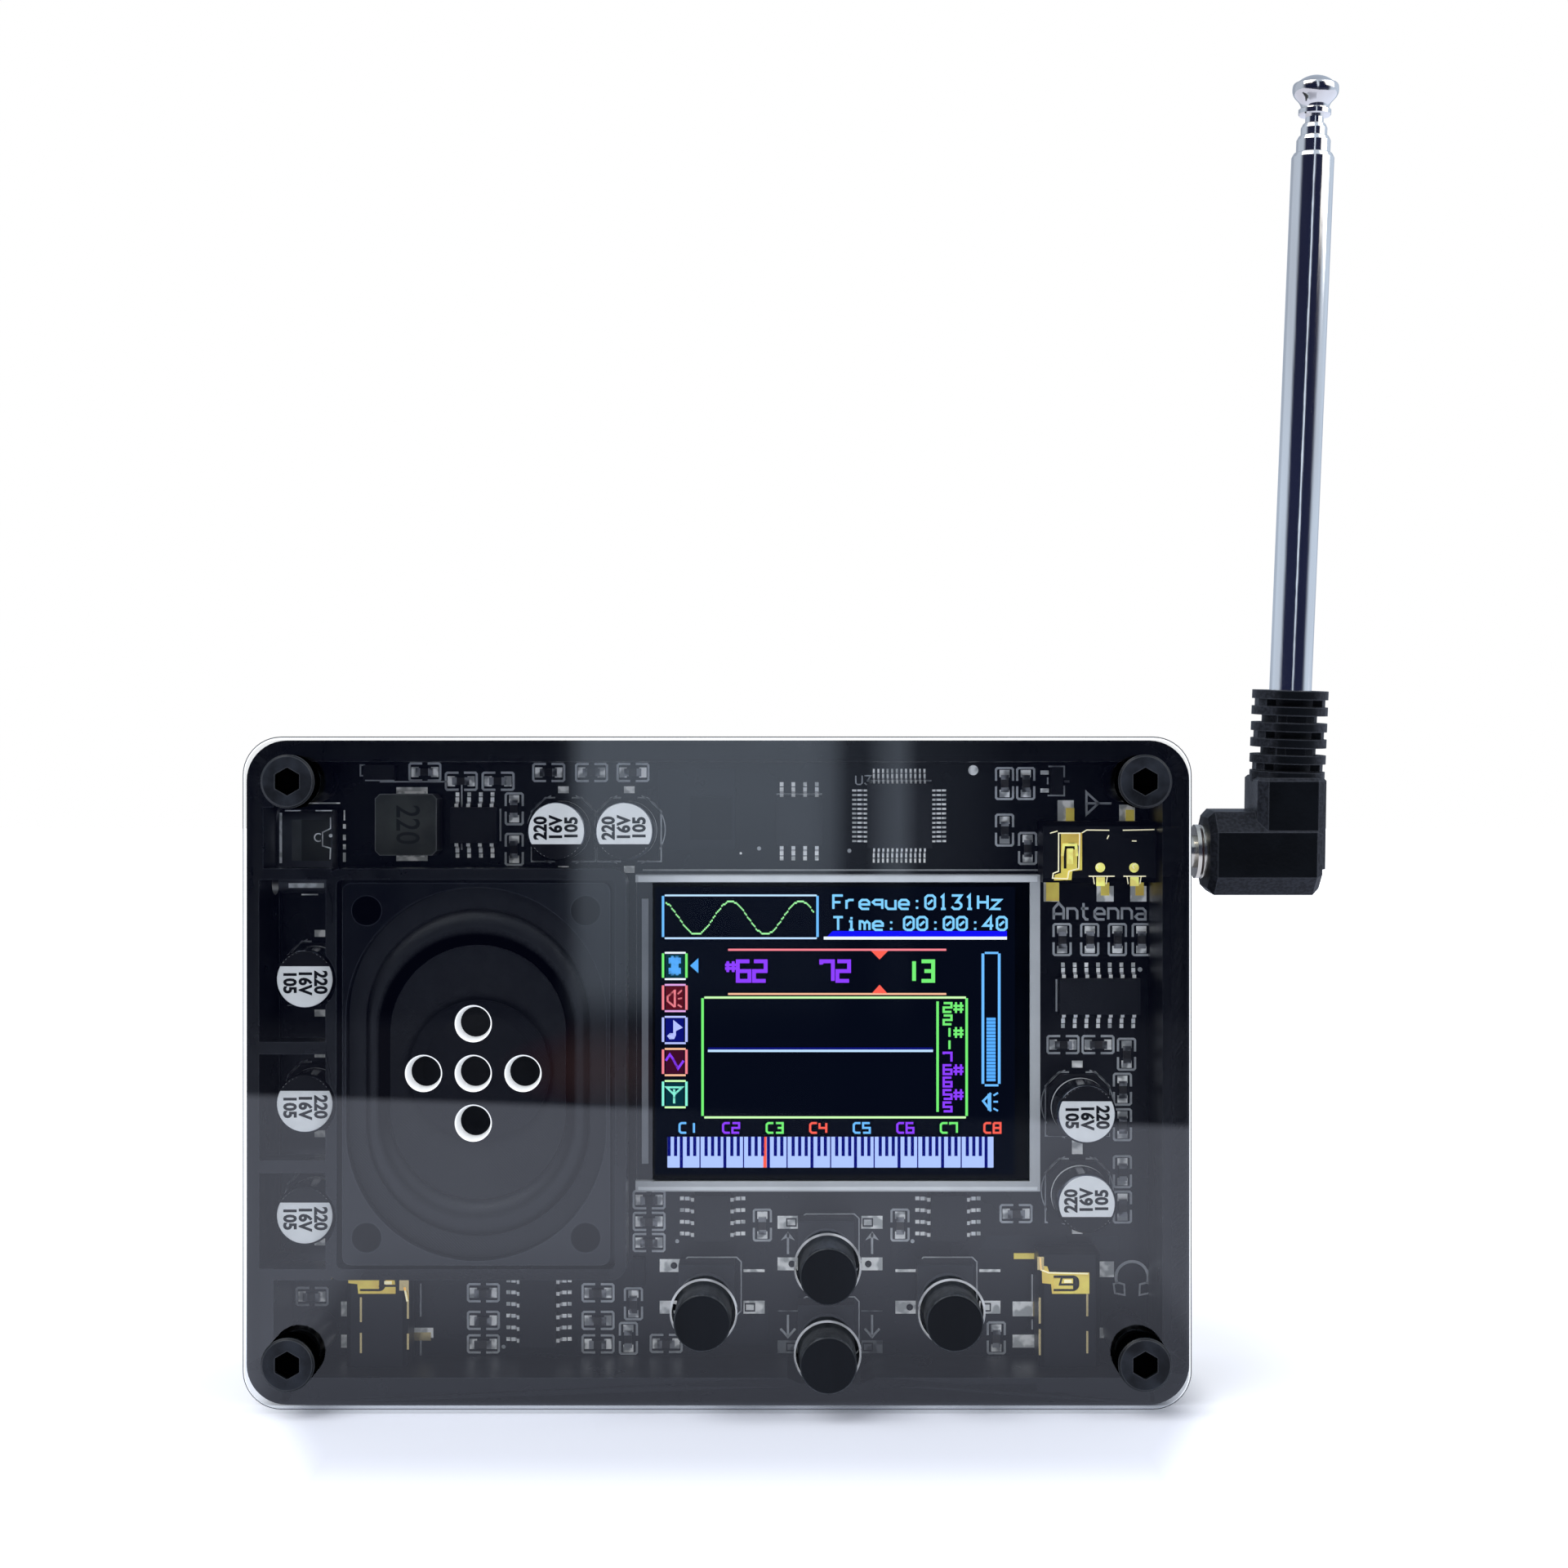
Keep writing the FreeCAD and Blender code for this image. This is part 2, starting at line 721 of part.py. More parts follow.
def speaker_plate():
    """Rectangular front plate with an oval step, and the basket behind it."""
    front, back = speaker_front, speaker_front + plate_thickness
    opening_depth = basket_depth - basket_floor
    x_range = (speaker_x - speaker_width / 2, speaker_x + speaker_width / 2)
    z_range = (speaker_z - speaker_height / 2, speaker_z + speaker_height / 2)
    plate = rounded_box(x_range, z_range, (front, back), plate_corner)
    holes = [post(speaker_x + i * plate_hole_span_x / 2, speaker_z + k * plate_hole_span_z / 2,
                  plate_hole_radius, (front, back)) for i in (-1, 1) for k in (-1, 1)]
    basket = oval(basket_oval, (back, basket_depth))
    shell = plate.fuse(basket)
    shell = shell.cut(holes + [oval(recess_oval, (front, flange_back)),
                               oval(opening_oval, (flange_back, opening_depth)),
                               post(speaker_x, speaker_z, basket_hole_radius,
                                    (opening_depth, basket_depth))])
    return shell.removeSplitter()


def half_roll(edge_oval):
    """Bulge that rises by a quarter round from an edge oval in the flange to the roll's crest."""
    crest = [(a + b) / 2 for a, b in zip(roll_outer_oval, roll_inner_oval)]
    wires = []
    for k in range(5):
        turn = math.radians(22.5 * k)
        size = [c + (e - c) * math.cos(turn) for c, e in zip(crest, edge_oval)]
        wires.append(oval_wire(size, flange_front - roll_rise * math.sin(turn)))
    return Part.makeLoft(wires, True)


def speaker_surround():
    """Flat flange with a half-round roll, wider at its ends, that carries the cone's edge."""
    depths = (flange_front, flange_back)
    fitted = (recess_oval[0] - 0.1, recess_oval[1])
    flange = oval(fitted, depths).cut(oval(roll_inner_oval, depths))
    roll = half_roll(roll_outer_oval).cut(half_roll(roll_inner_oval))
    return flange.fuse(roll).removeSplitter()


def speaker_cone():
    """Shallow cone from the oval edge down to the round neck."""

    def funnel(edge_depth, neck_depth):
        """Straight-sided loft from the oval edge to the round neck."""
        centre = Vec(speaker_x, y_at(neck_depth), speaker_z)
        neck = Part.Wire(Part.makeCircle(dust_cap_radius + 0.05, centre, Vec(0, 1, 0)))
        return Part.makeLoft([oval_wire(cone_oval, edge_depth), neck], True, True)

    edge_back = cone_edge_depth + cone_thickness
    front = funnel(cone_edge_depth, cone_neck_depth)
    back = funnel(edge_back, cone_neck_depth + cone_thickness)
    return back.fuse(oval(cone_oval, (cone_edge_depth, edge_back))).cut(front).removeSplitter()


def speaker_dust_cap():
    """Domed cap with a flat rim over the voice coil."""
    sphere_radius = (dust_dome_radius ** 2 + dust_cap_rise ** 2) / (2 * dust_cap_rise)
    centre = Vec(speaker_x, y_at(dust_cap_front - dust_cap_rise + sphere_radius), speaker_z)
    dome = Part.makeSphere(sphere_radius, centre)
    dome = dome.cut(Part.makeSphere(sphere_radius - fabric_thickness, centre))
    dome = dome.common(post(speaker_x, speaker_z, dust_cap_radius, (0, dust_cap_front + 0.1)))
    rim_depths = (dust_cap_front, dust_cap_front + fabric_thickness)
    rim = post(speaker_x, speaker_z, dust_cap_radius, rim_depths)
    rim = rim.cut(post(speaker_x, speaker_z, dust_dome_radius - fabric_thickness, rim_depths))
    return dome.fuse(rim).removeSplitter()


def voice_coil():
    """Wound tube behind the cone's neck."""
    winding = post(speaker_x, speaker_z, coil_radius, coil_depths)
    return winding.cut(post(speaker_x, speaker_z, coil_bore, coil_depths))


def speaker_magnet():
    """Steel cup with its ring gap for the voice coil."""
    cup = post(speaker_x, speaker_z, magnet_radius, (basket_depth, magnet_back))
    cup = cup.makeFillet(0.6, edges_at_depth(cup, magnet_back))
    gap_depths = (basket_depth, basket_depth + magnet_gap_depth)
    inner, outer = [post(speaker_x, speaker_z, radius, gap_depths) for radius in magnet_gap]
    return cup.cut(outer.cut(inner))


# ------------------------------------------------------------------ battery


def battery():
    """Soft-edged lithium pouch."""
    pouch = battery_box(0, (battery_front, battery_front + battery_thickness))
    return pouch.makeFillet(pouch_round, edges_along(pouch, Vec(0, 0, 1)))


# ------------------------------------------------------------------ sockets


def place_antenna_socket(shape):
    """Move a socket built at the origin, mouth towards +X, to the right wall."""
    shape.translate(Vec(inner_x, socket_y, antenna_socket_z))
    return shape


def place_lower_socket(shape, x):
    """Turn a socket so that its mouth points down, and move it to the bottom wall."""
    shape.rotate(Vec(0, 0, 0), Vec(0, 1, 0), 90)
    shape.translate(Vec(x, socket_y, inner_low))
    return shape


def socket_body():
    """Black socket body: a block with stepped shoulders and a round nose, mouth towards +X."""
    half_height = socket_height / 2
    block = Part.makeBox(socket_length, socket_height, socket_width,
                         Vec(-socket_length, -half_height, -socket_width / 2))
    front_edges = [e for e in edges_along(block, Vec(1, 0, 0)) if e.Vertexes[0].Point.y < 0]
    block = block.makeChamfer(socket_shoulder, front_edges)
    nose = Part.makeCylinder(socket_nose_radius, socket_nose, Vec(0, 0, 0), Vec(1, 0, 0))
    bore = Part.makeCylinder(socket_bore, socket_length + socket_nose - socket_end_wall,
                             Vec(socket_end_wall - socket_length, 0, 0), Vec(1, 0, 0))
    return block.fuse(nose).cut(bore).removeSplitter()


def contact_flag():
    """Stepped plate on the socket's front face, with a window and the spring tongue in it."""
    front = -socket_height / 2
    outline = [(-10.1, 2.05), (-7.87, 2.05), (-7.87, -1.9), (-8.9, -2.0), (-9.0, -2.95), (-10.85, -3.0),
               (-10.75, -2.4), (-10.1, -2.2)]
    corners = [Vec(x, front, z) for x, z in outline]
    plate = Part.Face(Part.makePolygon(corners + corners[:1])).extrude(Vec(0, -contact_thickness, 0))
    window = Part.makeBox(1.7, 1, 2.75, Vec(-9.82, front - 0.5, -1.75))
    upper_corners = [e for e in edges_along(window, Vec(0, 1, 0)) if e.Vertexes[0].Point.z > 0]
    window = window.makeFillet(0.7, upper_corners)
    spring = contact_thickness + 0.15
    tongue = Part.makeBox(1.1, spring, 2.1, Vec(-9.52, front - spring, -1.8))
    return plate.cut(window).fuse(tongue).removeSplitter()


def socket_contacts(tabs):
    """Gold spring contacts: a flag on the front face and solder tabs on the board along both sides."""
    half_socket = socket_width / 2
    foot = board_front - socket_depth
    pieces = [contact_flag()]
    for behind, width, reach, side in tabs:
        low = min(side * half_socket, side * (half_socket + reach))
        pieces.append(Part.makeBox(width, contact_thickness, reach,
                                   Vec(-behind - width / 2, foot - contact_thickness, low)))
    return group(pieces)


def usb_shell():
    """Flat round-ended metal shell, open to the left."""
    front, back = board_front - usb_height, board_front
    x_range = (usb_left, usb_left + usb_length)

    def tube(inset, x0, x1):
        """Round-ended bar, taken in by the inset all round."""
        bar = box((x0, x1), (usb_z - usb_width / 2 + inset, usb_z + usb_width / 2 - inset),
                  (front + inset, back - inset))
        return bar.makeFillet(usb_round - inset, edges_along(bar, Vec(1, 0, 0)))

    return tube(0, *x_range).cut(tube(usb_wall, x_range[0] - 1, x_range[1] - usb_wall))


def usb_tongue():
    """Thin contact tongue in the middle of the shell."""
    middle = board_front - usb_height / 2
    return box((usb_left + tongue_inset, usb_left + usb_length - usb_wall),
               (usb_z - tongue_width / 2, usb_z + tongue_width / 2),
               (middle - tongue_thickness / 2, middle + tongue_thickness / 2))


# ------------------------------------------------------------------ switches and buttons


def switch_base(x, z):
    """Moulded base with a round well for the plunger."""
    base = on_board(switch_size, switch_size, switch_height, x, z)
    well_front = board_front - switch_height
    return base.cut(post(x, z, well_radius, (well_front, board_front - switch_floor)))


def switch_cover(x, z):
    """Steel cover plate with the hole that guides the plunger."""
    front = board_front - switch_height - switch_cover_thickness
    plate = on_board(switch_size, switch_size, switch_cover_thickness, x, z, switch_height)
    guide_depths = (front, front + switch_cover_thickness)
    return plate.cut(post(x, z, plunger_radius + running_clearance, guide_depths))


def switch_dome(x, z):
    """Snap dome at the bottom of the well."""
    floor = board_front - switch_floor
    return post(x, z, dome_radius, (floor - dome_thickness, floor))


def plunger(x, z):
    """Stem that the cap sits on, with the flange that the cover holds in."""
    flange_front_depth = board_front - switch_height + running_clearance
    flange_end = flange_front_depth + plunger_flange_thickness
    stem = post(x, z, plunger_radius, (plunger_front, flange_end))
    flange = post(x, z, plunger_flange_radius, (flange_front_depth, flange_end))
    foot = post(x, z, plunger_foot_radius, (flange_end, flange_end + 1.0))
    return stem.fuse([flange, foot]).removeSplitter()


def button_cap(x, z):
    """Tall round cap pressed on the plunger."""
    top = -button_proud
    cap = post(x, z, button_radius, (top, top + button_length))
    cap = cap.makeFillet(0.3, edges_at_depth(cap, top))
    return cap.cut(post(x, z, plunger_radius, (plunger_front, top + button_length)))


# ------------------------------------------------------------------ antenna


def swing(shape):
    """Turn a piece about the plug's axis, from upright to the lean it rests at."""
    shape.rotate(Vec(0, socket_y, antenna_socket_z), Vec(1, 0, 0), antenna_lean_front)
    return shape


def lean(shape):
    """Move a piece built upward from the origin onto the antenna's line, then swing it."""
    shape.rotate(Vec(0, 0, 0), Vec(0, 1, 0), antenna_lean_right)
    shape.translate(Vec(antenna_x, socket_y, antenna_socket_z))
    return swing(shape)


def along_plug(x0, x1, radius):
    """Round bar on the plug's axis."""
    return Part.makeCylinder(radius, x1 - x0, Vec(x0, socket_y, antenna_socket_z), Vec(1, 0, 0))


def plug_tip():
    """Pointed tip with its neck and the thin rod that runs back through the plug."""
    end = flange_x - plug_length
    root = flange_x + plug_root
    outline = [(0, end), (0.7, end), (plug_radius, end + 1.6), (1.15, end + 2.6),
               (plug_radius, end + 3.1), (plug_radius, end + tip_length),
               (plug_rod_radius, end + tip_length), (plug_rod_radius, root), (0, root)]
    tip = turned(outline)
    tip.rotate(Vec(0, 0, 0), Vec(0, 1, 0), 90)
    tip.translate(Vec(0, socket_y, antenna_socket_z))
    return tip


def plug_insulator():
    """Black sleeve with the ring that parts tip from barrel."""
    start, root = flange_x - plug_length + tip_length, flange_x + plug_root
    ring = along_plug(start, start + tip_ring, plug_radius)
    core = along_plug(start + tip_ring, root, plug_bore)
    return ring.fuse(core).cut(along_plug(start, root, plug_rod_radius))


def plug_sleeve():
    """Barrel of the plug."""
    start, root = flange_x - plug_length + tip_length + tip_ring, flange_x + plug_root
    return along_plug(start, root, plug_radius).cut(along_plug(start, root, plug_bore))


def plug_flange():
    """Grooved shoulder ring against the moulded body."""
    end = flange_x + flange_thickness
    ring = along_plug(flange_x, end, flange_radius)
    start = flange_x + groove_start
    groove = along_plug(start, start + groove_width, flange_radius + 1)
    groove = groove.cut(along_plug(start, start + groove_width, flange_radius - groove_depth))
    return ring.cut([groove, along_plug(flange_x, end, plug_radius)])


def boot_ring(low, high, radius):
    """One disc of the strain relief."""
    return Part.makeCylinder(radius, high - low, Vec(0, 0, low))


def strain_relief():
    """Ribbed sleeve: five rings joined by webs that alternate side to side and front to back."""
    top = boot_first_ring + (boot_rings - 1) * boot_ring_pitch + boot_ring_thickness
    solid = boot_ring(upright_top - boot_root, top, boot_core_radius)
    rings = [boot_ring(upright_top - boot_root, upright_top + boot_root, boot_radius - 0.05)]
    for k in range(boot_rings):
        low = boot_first_ring + k * boot_ring_pitch
        rings.append(boot_ring(low, low + boot_ring_thickness, boot_radius))
        neck = low - (boot_ring_pitch - boot_ring_thickness)
        if k % 2 == 0:
            web = Part.makeBox(boot_web, 4.4, low - neck, Vec(-boot_web / 2, -2.2, neck))
        else:
            web = Part.makeBox(3.9, boot_web, low - neck, Vec(-1.95, -boot_web / 2, neck))
        rings.append(web.common(boot_ring(neck, low, boot_radius - 0.3)))
    return lean(solid.fuse(rings).removeSplitter())


def plug_moulding():
    """Right-angled moulded body: an eight-sided bar along the plug, an upright, and the sleeve."""
    half, cut = block_size / 2, block_size / 2 - block_chamfer
    start = flange_x + flange_thickness
    outline = [(cut, half), (half, cut), (half, -cut), (cut, -half), (-cut, -half), (-half, -cut),
               (-half, cut), (-cut, half)]
    corners = [Vec(start, socket_y + y, antenna_socket_z + z) for y, z in outline]
    bar = Part.Face(Part.makePolygon(corners + corners[:1])).extrude(Vec(block_end_x - start, 0, 0))
    ends = [e for e in bar.Edges if e.BoundBox.XLength < 1e-6]
    bar = bar.makeChamfer(0.7, ends)
    upright = Part.makeBox(upright_right - upright_left, block_size - 0.3, upright_top + 1.6,
                           Vec(upright_left, socket_y - half + 0.15, antenna_socket_z - 1.6))
    upright = upright.makeChamfer(1.0, edges_along(upright, Vec(0, 0, 1)))
    top_z = antenna_socket_z + upright_top
    top_edges = [e for e in upright.Edges if e.BoundBox.ZMin > top_z - 0.01]
    upright = upright.makeChamfer(0.3, top_edges)
    body = swing(bar.fuse(upright)).fuse(strain_relief())
    seat = lean(boot_ring(tube_1["bottom"], 30, tube_1["radius"]))
    socket = along_plug(start, flange_x + plug_root, plug_radius + moulding_clearance)
    return body.cut([seat, socket]).removeSplitter()


def telescopic_tube(size, next_radius, closed):
    """Thin tube with a guide collar at its foot and a rolled-in lip at its mouth."""
    radius, bore, bottom, top = size["radius"], size["bore"], size["bottom"], size["top"]
    lip = next_radius + running_clearance
    collar = radius if closed else size["collar"]
    outline = [(lip, top), (lip, top - lip_length), (bore, top - lip_length - 0.3)]
    if closed:
        outline += [(bore, bottom + 1), (0, bottom + 1), (0, bottom), (radius, bottom)]
    else:
        outline += [(bore, bottom), (collar, bottom), (collar, bottom + collar_length),
                    (radius, bottom + collar_length + 0.2)]
    outline += [(radius, top - 0.5), (radius - 0.2, top - 0.1), (radius - 0.3, top)]
    return lean(turned(outline))


def antenna_rod():
    """Solid top section with its guide collar."""
    radius, bottom, top = rod["radius"], rod["bottom"], rod["top"]
    collar = tube_3["bore"] - running_clearance
    outline = [(0, bottom), (collar, bottom), (collar, bottom + collar_length),
               (radius, bottom + collar_length + 0.2), (radius, top), (0, top)]
    return lean(turned(outline))


def curve(*poles):
    """Bezier edge in the XZ plane through its first and last (radius, height) poles."""
    bezier = Part.BezierCurve()
    bezier.setPoles([Vec(r, 0, h) for r, h in poles])
    return bezier.toShape()


def antenna_knob():
    """Turned end knob: a collar, a waist and a domed bulb."""
    base = rod["top"]
    neck, shoulder, brim = base + 0.8, knob_top - 1.5, knob_top - 0.85
    dome_edge, dome_rise = 2.0, knob_top - brim
    crown_radius = (dome_edge ** 2 + dome_rise ** 2) / (2 * dome_rise)
    half_angle = math.asin(dome_edge / crown_radius) / 2
    crown_drop = crown_radius * (1 - math.cos(half_angle))
    crown = Vec(crown_radius * math.sin(half_angle), 0, knob_top - crown_drop)
    collar = [Vec(0, 0, base), Vec(1.6, 0, base), Vec(1.7, 0, base + 0.15), Vec(1.7, 0, neck - 0.2),
              Vec(1.45, 0, neck)]
    sides = [Part.makeLine(a, b) for a, b in zip(collar, collar[1:])]
    swell = neck + 0.9
    sides.append(curve((1.45, neck), (1.55, swell), (knob_radius, swell), (knob_radius, shoulder)))
    sides.append(curve((knob_radius, shoulder), (knob_radius, brim), (2.1, brim)))
    sides.append(Part.makeLine(Vec(2.1, 0, brim), Vec(dome_edge, 0, brim)))
    sides.append(Part.Arc(Vec(dome_edge, 0, brim), crown, Vec(0, 0, knob_top)).toShape())
    sides.append(Part.makeLine(Vec(0, 0, knob_top), Vec(0, 0, base)))
    return lean(Part.Face(Part.Wire(sides)).revolve(Vec(0, 0, 0), Vec(0, 0, 1), 360))


# ------------------------------------------------------------------ write every sub-part

tube_2["collar"] = tube_1["bore"] - running_clearance
tube_3["collar"] = tube_2["bore"] - running_clearance

save("front_panel", front_panel())
save("mid_frame", mid_frame())
save("back_cover", back_cover())
save("cover_screws", group([cover_screw(x, z) for x, z in screw_places]))
save("thread_inserts", group([thread_insert(x, z) for x, z in screw_places]))

save("main_board", main_board())
save("capacitor_cans", group([capacitor_can(x, z) for x, z in capacitor_places.values()]))
save("capacitor_bases", group([capacitor_base(x, z) for x, z in capacitor_places.values()]))
save("power_inductor", power_inductor())
save("chip_packages", chip_packages())
save("chip_legs", chip_legs())
save("chip_parts", chip_parts())

save("display_frame", display_frame())
save("display_glass", display_glass())
save("display_driver", display_driver())

save("speaker_plate", speaker_plate())
save("speaker_surround", speaker_surround())
save("speaker_cone", speaker_cone())
save("speaker_dust_cap", speaker_dust_cap())
save("voice_coil", voice_coil())
save("speaker_magnet", speaker_magnet())

save("battery", battery())

save("antenna_jack", place_antenna_socket(socket_body()))
save("antenna_jack_contacts", place_antenna_socket(socket_contacts(antenna_tabs)))
save("headphone_jack", place_lower_socket(socket_body(), headphone_socket_x))
save("headphone_jack_contacts", place_lower_socket(socket_contacts(headphone_tabs), headphone_socket_x))
save("line_jack", place_lower_socket(socket_body(), line_socket_x))
save("line_jack_contacts", place_lower_socket(socket_contacts(line_tabs), line_socket_x))
save("usb_shell", usb_shell())
save("usb_tongue", usb_tongue())

save("switch_bases", group([switch_base(x, z) for x, z in button_places.values()]))
save("switch_covers", group([switch_cover(x, z) for x, z in button_places.values()]))
save("switch_domes", group([switch_dome(x, z) for x, z in button_places.values()]))
for side, (x, z) in button_places.items():
    save(side + "_button", button_cap(x, z))
    save(side + "_plunger", plunger(x, z))

save("plug_tip", swing(plug_tip()))
save("plug_insulator", swing(plug_insulator()))
save("plug_sleeve", swing(plug_sleeve()))
save("plug_flange", swing(plug_flange()))
save("plug_moulding", plug_moulding())
save("antenna_tube_1", telescopic_tube(tube_1, tube_2["radius"], True))
save("antenna_tube_2", telescopic_tube(tube_2, tube_3["radius"], False))
save("antenna_tube_3", telescopic_tube(tube_3, rod["radius"], False))
save("antenna_rod", antenna_rod())
save("antenna_knob", antenna_knob())
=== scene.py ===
"""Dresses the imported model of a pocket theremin: finishes, printing, picture, floor, light and camera."""

import math
import random

import bmesh
import bpy
from bpy.props import (BoolProperty, FloatProperty, FloatVectorProperty, IntProperty, PointerProperty,
                       StringProperty)
from mathutils import Matrix, Vector


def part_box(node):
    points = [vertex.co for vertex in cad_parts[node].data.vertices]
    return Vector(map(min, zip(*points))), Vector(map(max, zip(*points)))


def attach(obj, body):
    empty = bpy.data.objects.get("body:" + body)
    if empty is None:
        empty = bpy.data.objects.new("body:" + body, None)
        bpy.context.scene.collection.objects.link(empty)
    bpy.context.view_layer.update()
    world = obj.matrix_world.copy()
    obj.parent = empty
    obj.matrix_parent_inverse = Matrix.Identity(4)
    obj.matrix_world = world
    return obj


bl_info = {
    "name": "Pocket Theremin Dresser",
    "version": (1, 0, 0),
    "blender": (4, 5, 0),
    "location": "3D Viewport > Sidebar > Theremin",
    "description": "Gives the theremin its finishes, board print, display picture and studio",
    "category": "Object",
}

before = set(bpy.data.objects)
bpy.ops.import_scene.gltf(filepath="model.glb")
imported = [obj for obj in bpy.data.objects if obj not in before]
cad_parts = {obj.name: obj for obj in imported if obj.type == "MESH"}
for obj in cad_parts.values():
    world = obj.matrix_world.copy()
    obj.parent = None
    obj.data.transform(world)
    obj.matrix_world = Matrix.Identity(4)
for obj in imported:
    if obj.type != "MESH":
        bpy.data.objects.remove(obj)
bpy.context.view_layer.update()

MM = 0.001
SWITCH_SHIFT = 0.5 * MM
PANEL_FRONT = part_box("front_panel")[0].y
BOARD_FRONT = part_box("main_board")[0].y
GLASS_LOW, GLASS_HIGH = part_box("display_glass")


# How squarely a bevel's face looks to the front, least and most.
BEVEL_FACING = (0.3, 0.95)

# Bright strip that the panel mirrors: brightness at angles from straight ahead, in degrees to the right.
STRIP_REACH = math.radians(8)
STRIP_PROFILE = ((-5.9, 0.0), (-5.6, 0.08), (-5.1, 0.9), (-4.8, 1.0), (0.6, 1.0), (1.17, 0.8), (1.65, 0.18),
                 (2.1, 0.15), (2.6, 0.6), (2.95, 0.78), (3.45, 0.13), (4.7, 0.08), (5.9, 0.0))


# ---------------------------------------------------------------- small shared tools


def ink(red, green, blue):
    """Linear colour of a screen colour given as 0 to 255."""
    return tuple(((c / 255 + 0.055) / 1.055) ** 2.4 if c > 10 else c / 255 / 12.92
                 for c in (red, green, blue)) + (1.0,)


def clear_tree(owner):
    """Empty node tree of a material or world."""
    owner.use_nodes = True
    owner.node_tree.nodes.clear()
    return owner.node_tree


def add(tree, kind, inputs=None, **settings):
    """New node. An input is a value or the socket that feeds it."""
    node = tree.nodes.new(kind)
    for name, value in settings.items():
        setattr(node, name, value)
    for key, value in (inputs or {}).items():
        if isinstance(value, bpy.types.NodeSocket):
            tree.links.new(value, node.inputs[key])
        else:
            node.inputs[key].default_value = value
    return node


def maths(tree, operation, first, second=0.0):
    """Output of a Math node."""
    return add(tree, "ShaderNodeMath", {0: first, 1: second}, operation=operation).outputs[0]


def product(tree, first, *others):
    """Output of the product of several values."""
    for other in others:
        first = maths(tree, "MULTIPLY", first, other)
    return first


def between(tree, value, low, high):
    """1 where a value lies between two limits, and 0 elsewhere."""
    return product(tree, maths(tree, "GREATER_THAN", value, low), maths(tree, "LESS_THAN", value, high))


def vectors(tree, operation, first, *second):
    """Output of a Vector Math node."""
    node = add(tree, "ShaderNodeVectorMath", dict(enumerate((first, *second))), operation=operation)
    return node.outputs["Value" if operation in ("DOT_PRODUCT", "LENGTH") else 0]


def coordinates(tree, kind="Object"):
    """Place of the shaded point, or another of the point's coordinates."""
    return add(tree, "ShaderNodeTexCoord").outputs[kind]


def axes_of(tree, vector):
    """The X, Y and Z outputs of a vector."""
    return add(tree, "ShaderNodeSeparateXYZ", {0: vector}).outputs


def end_material(tree, shader):
    """Send a shader node to the material's output."""
    add(tree, "ShaderNodeOutputMaterial", {"Surface": shader.outputs[0]})


def ramp(tree, value, low, high, start=0.0, end=1.0, kind="SMOOTHSTEP"):
    """Output of a Map Range from low..high to start..end."""
    node = add(tree, "ShaderNodeMapRange",
               {"Value": value, "From Min": low, "From Max": high, "To Min": start, "To Max": end},
               interpolation_type=kind)
    return node.outputs["Result"]


def blend_colours(tree, factor, first, second):
    """Output of a colour mix."""
    node = add(tree, "ShaderNodeMix", {0: factor, 6: first, 7: second}, data_type="RGBA")
    return node.outputs[2]


def shades(colour, spread):
    """A darker and a lighter version of a colour."""
    dark = tuple(c * (1 - spread) for c in colour[:3]) + (1.0,)
    light = tuple(min(1.0, c * (1 + spread)) for c in colour[:3]) + (1.0,)
    return dark, light


def surface(name, colour, roughness, metallic=0.0, grain=5000.0, depth=0.05, mottle=0.12, stretch=(1, 1, 1),
            specular=0.5, edge=0.0, edge_highlight=(0.06, 0.066, 0.08), side=None):
    """Finish with a fine grain in its bump and a slow drift in its colour and roughness.

    edge is the reach of a painted highlight along sharp edges, and side the colour of faces that look
    sideways, painted there as light and shade.
    """
    material = bpy.data.materials.new(name)
    tree = clear_tree(material)
    place = add(tree, "ShaderNodeMapping", {"Vector": coordinates(tree), "Scale": stretch}).outputs["Vector"]
    cloud = add(tree, "ShaderNodeTexNoise", {"Vector": place, "Scale": grain / 14, "Detail": 3.0}).outputs[0]
    fine = add(tree, "ShaderNodeTexNoise", {"Vector": place, "Scale": grain, "Detail": 2.0}).outputs[0]
    drift = ramp(tree, cloud, 0.3, 0.7)
    tint = blend_colours(tree, drift, *shades(colour, mottle))
    # Painted light and shade: faces that look sideways take the side colour.
    if side:
        beside = blend_colours(tree, ramp(tree, fine, 0.35, 0.65), *shades(side, 0.35))
        tint = blend_colours(tree, ramp(tree, facing(tree), 0.76, 0.93), beside, tint)
    # Painted highlight: a paler colour along sharp edges, where the bevelled normal leaves the true one.
    if edge:
        rounded = add(tree, "ShaderNodeBevel", {"Radius": edge}, samples=4).outputs[0]
        straight = add(tree, "ShaderNodeNewGeometry").outputs["Normal"]
        along = vectors(tree, "DOT_PRODUCT", rounded, straight)
        tint = blend_colours(tree, ramp(tree, along, 0.995, 0.93), tint, edge_highlight + (1.0,))
    rough = ramp(tree, cloud, 0.3, 0.7, roughness * 0.9, min(1.0, roughness * 1.12))
    bump = add(tree, "ShaderNodeBump", {"Height": fine, "Strength": depth, "Distance": 0.1 * MM})
    shader = add(tree, "ShaderNodeBsdfPrincipled",
                 {"Base Color": tint, "Roughness": rough, "Metallic": metallic,
                  "Normal": bump.outputs["Normal"], "Specular IOR Level": specular})
    end_material(tree, shader)
    return material


def facing(tree):
    """How squarely a face looks to the front or back, from 0 to 1."""
    return maths(tree, "ABSOLUTE", axes_of(tree, coordinates(tree, "Normal"))["Y"])


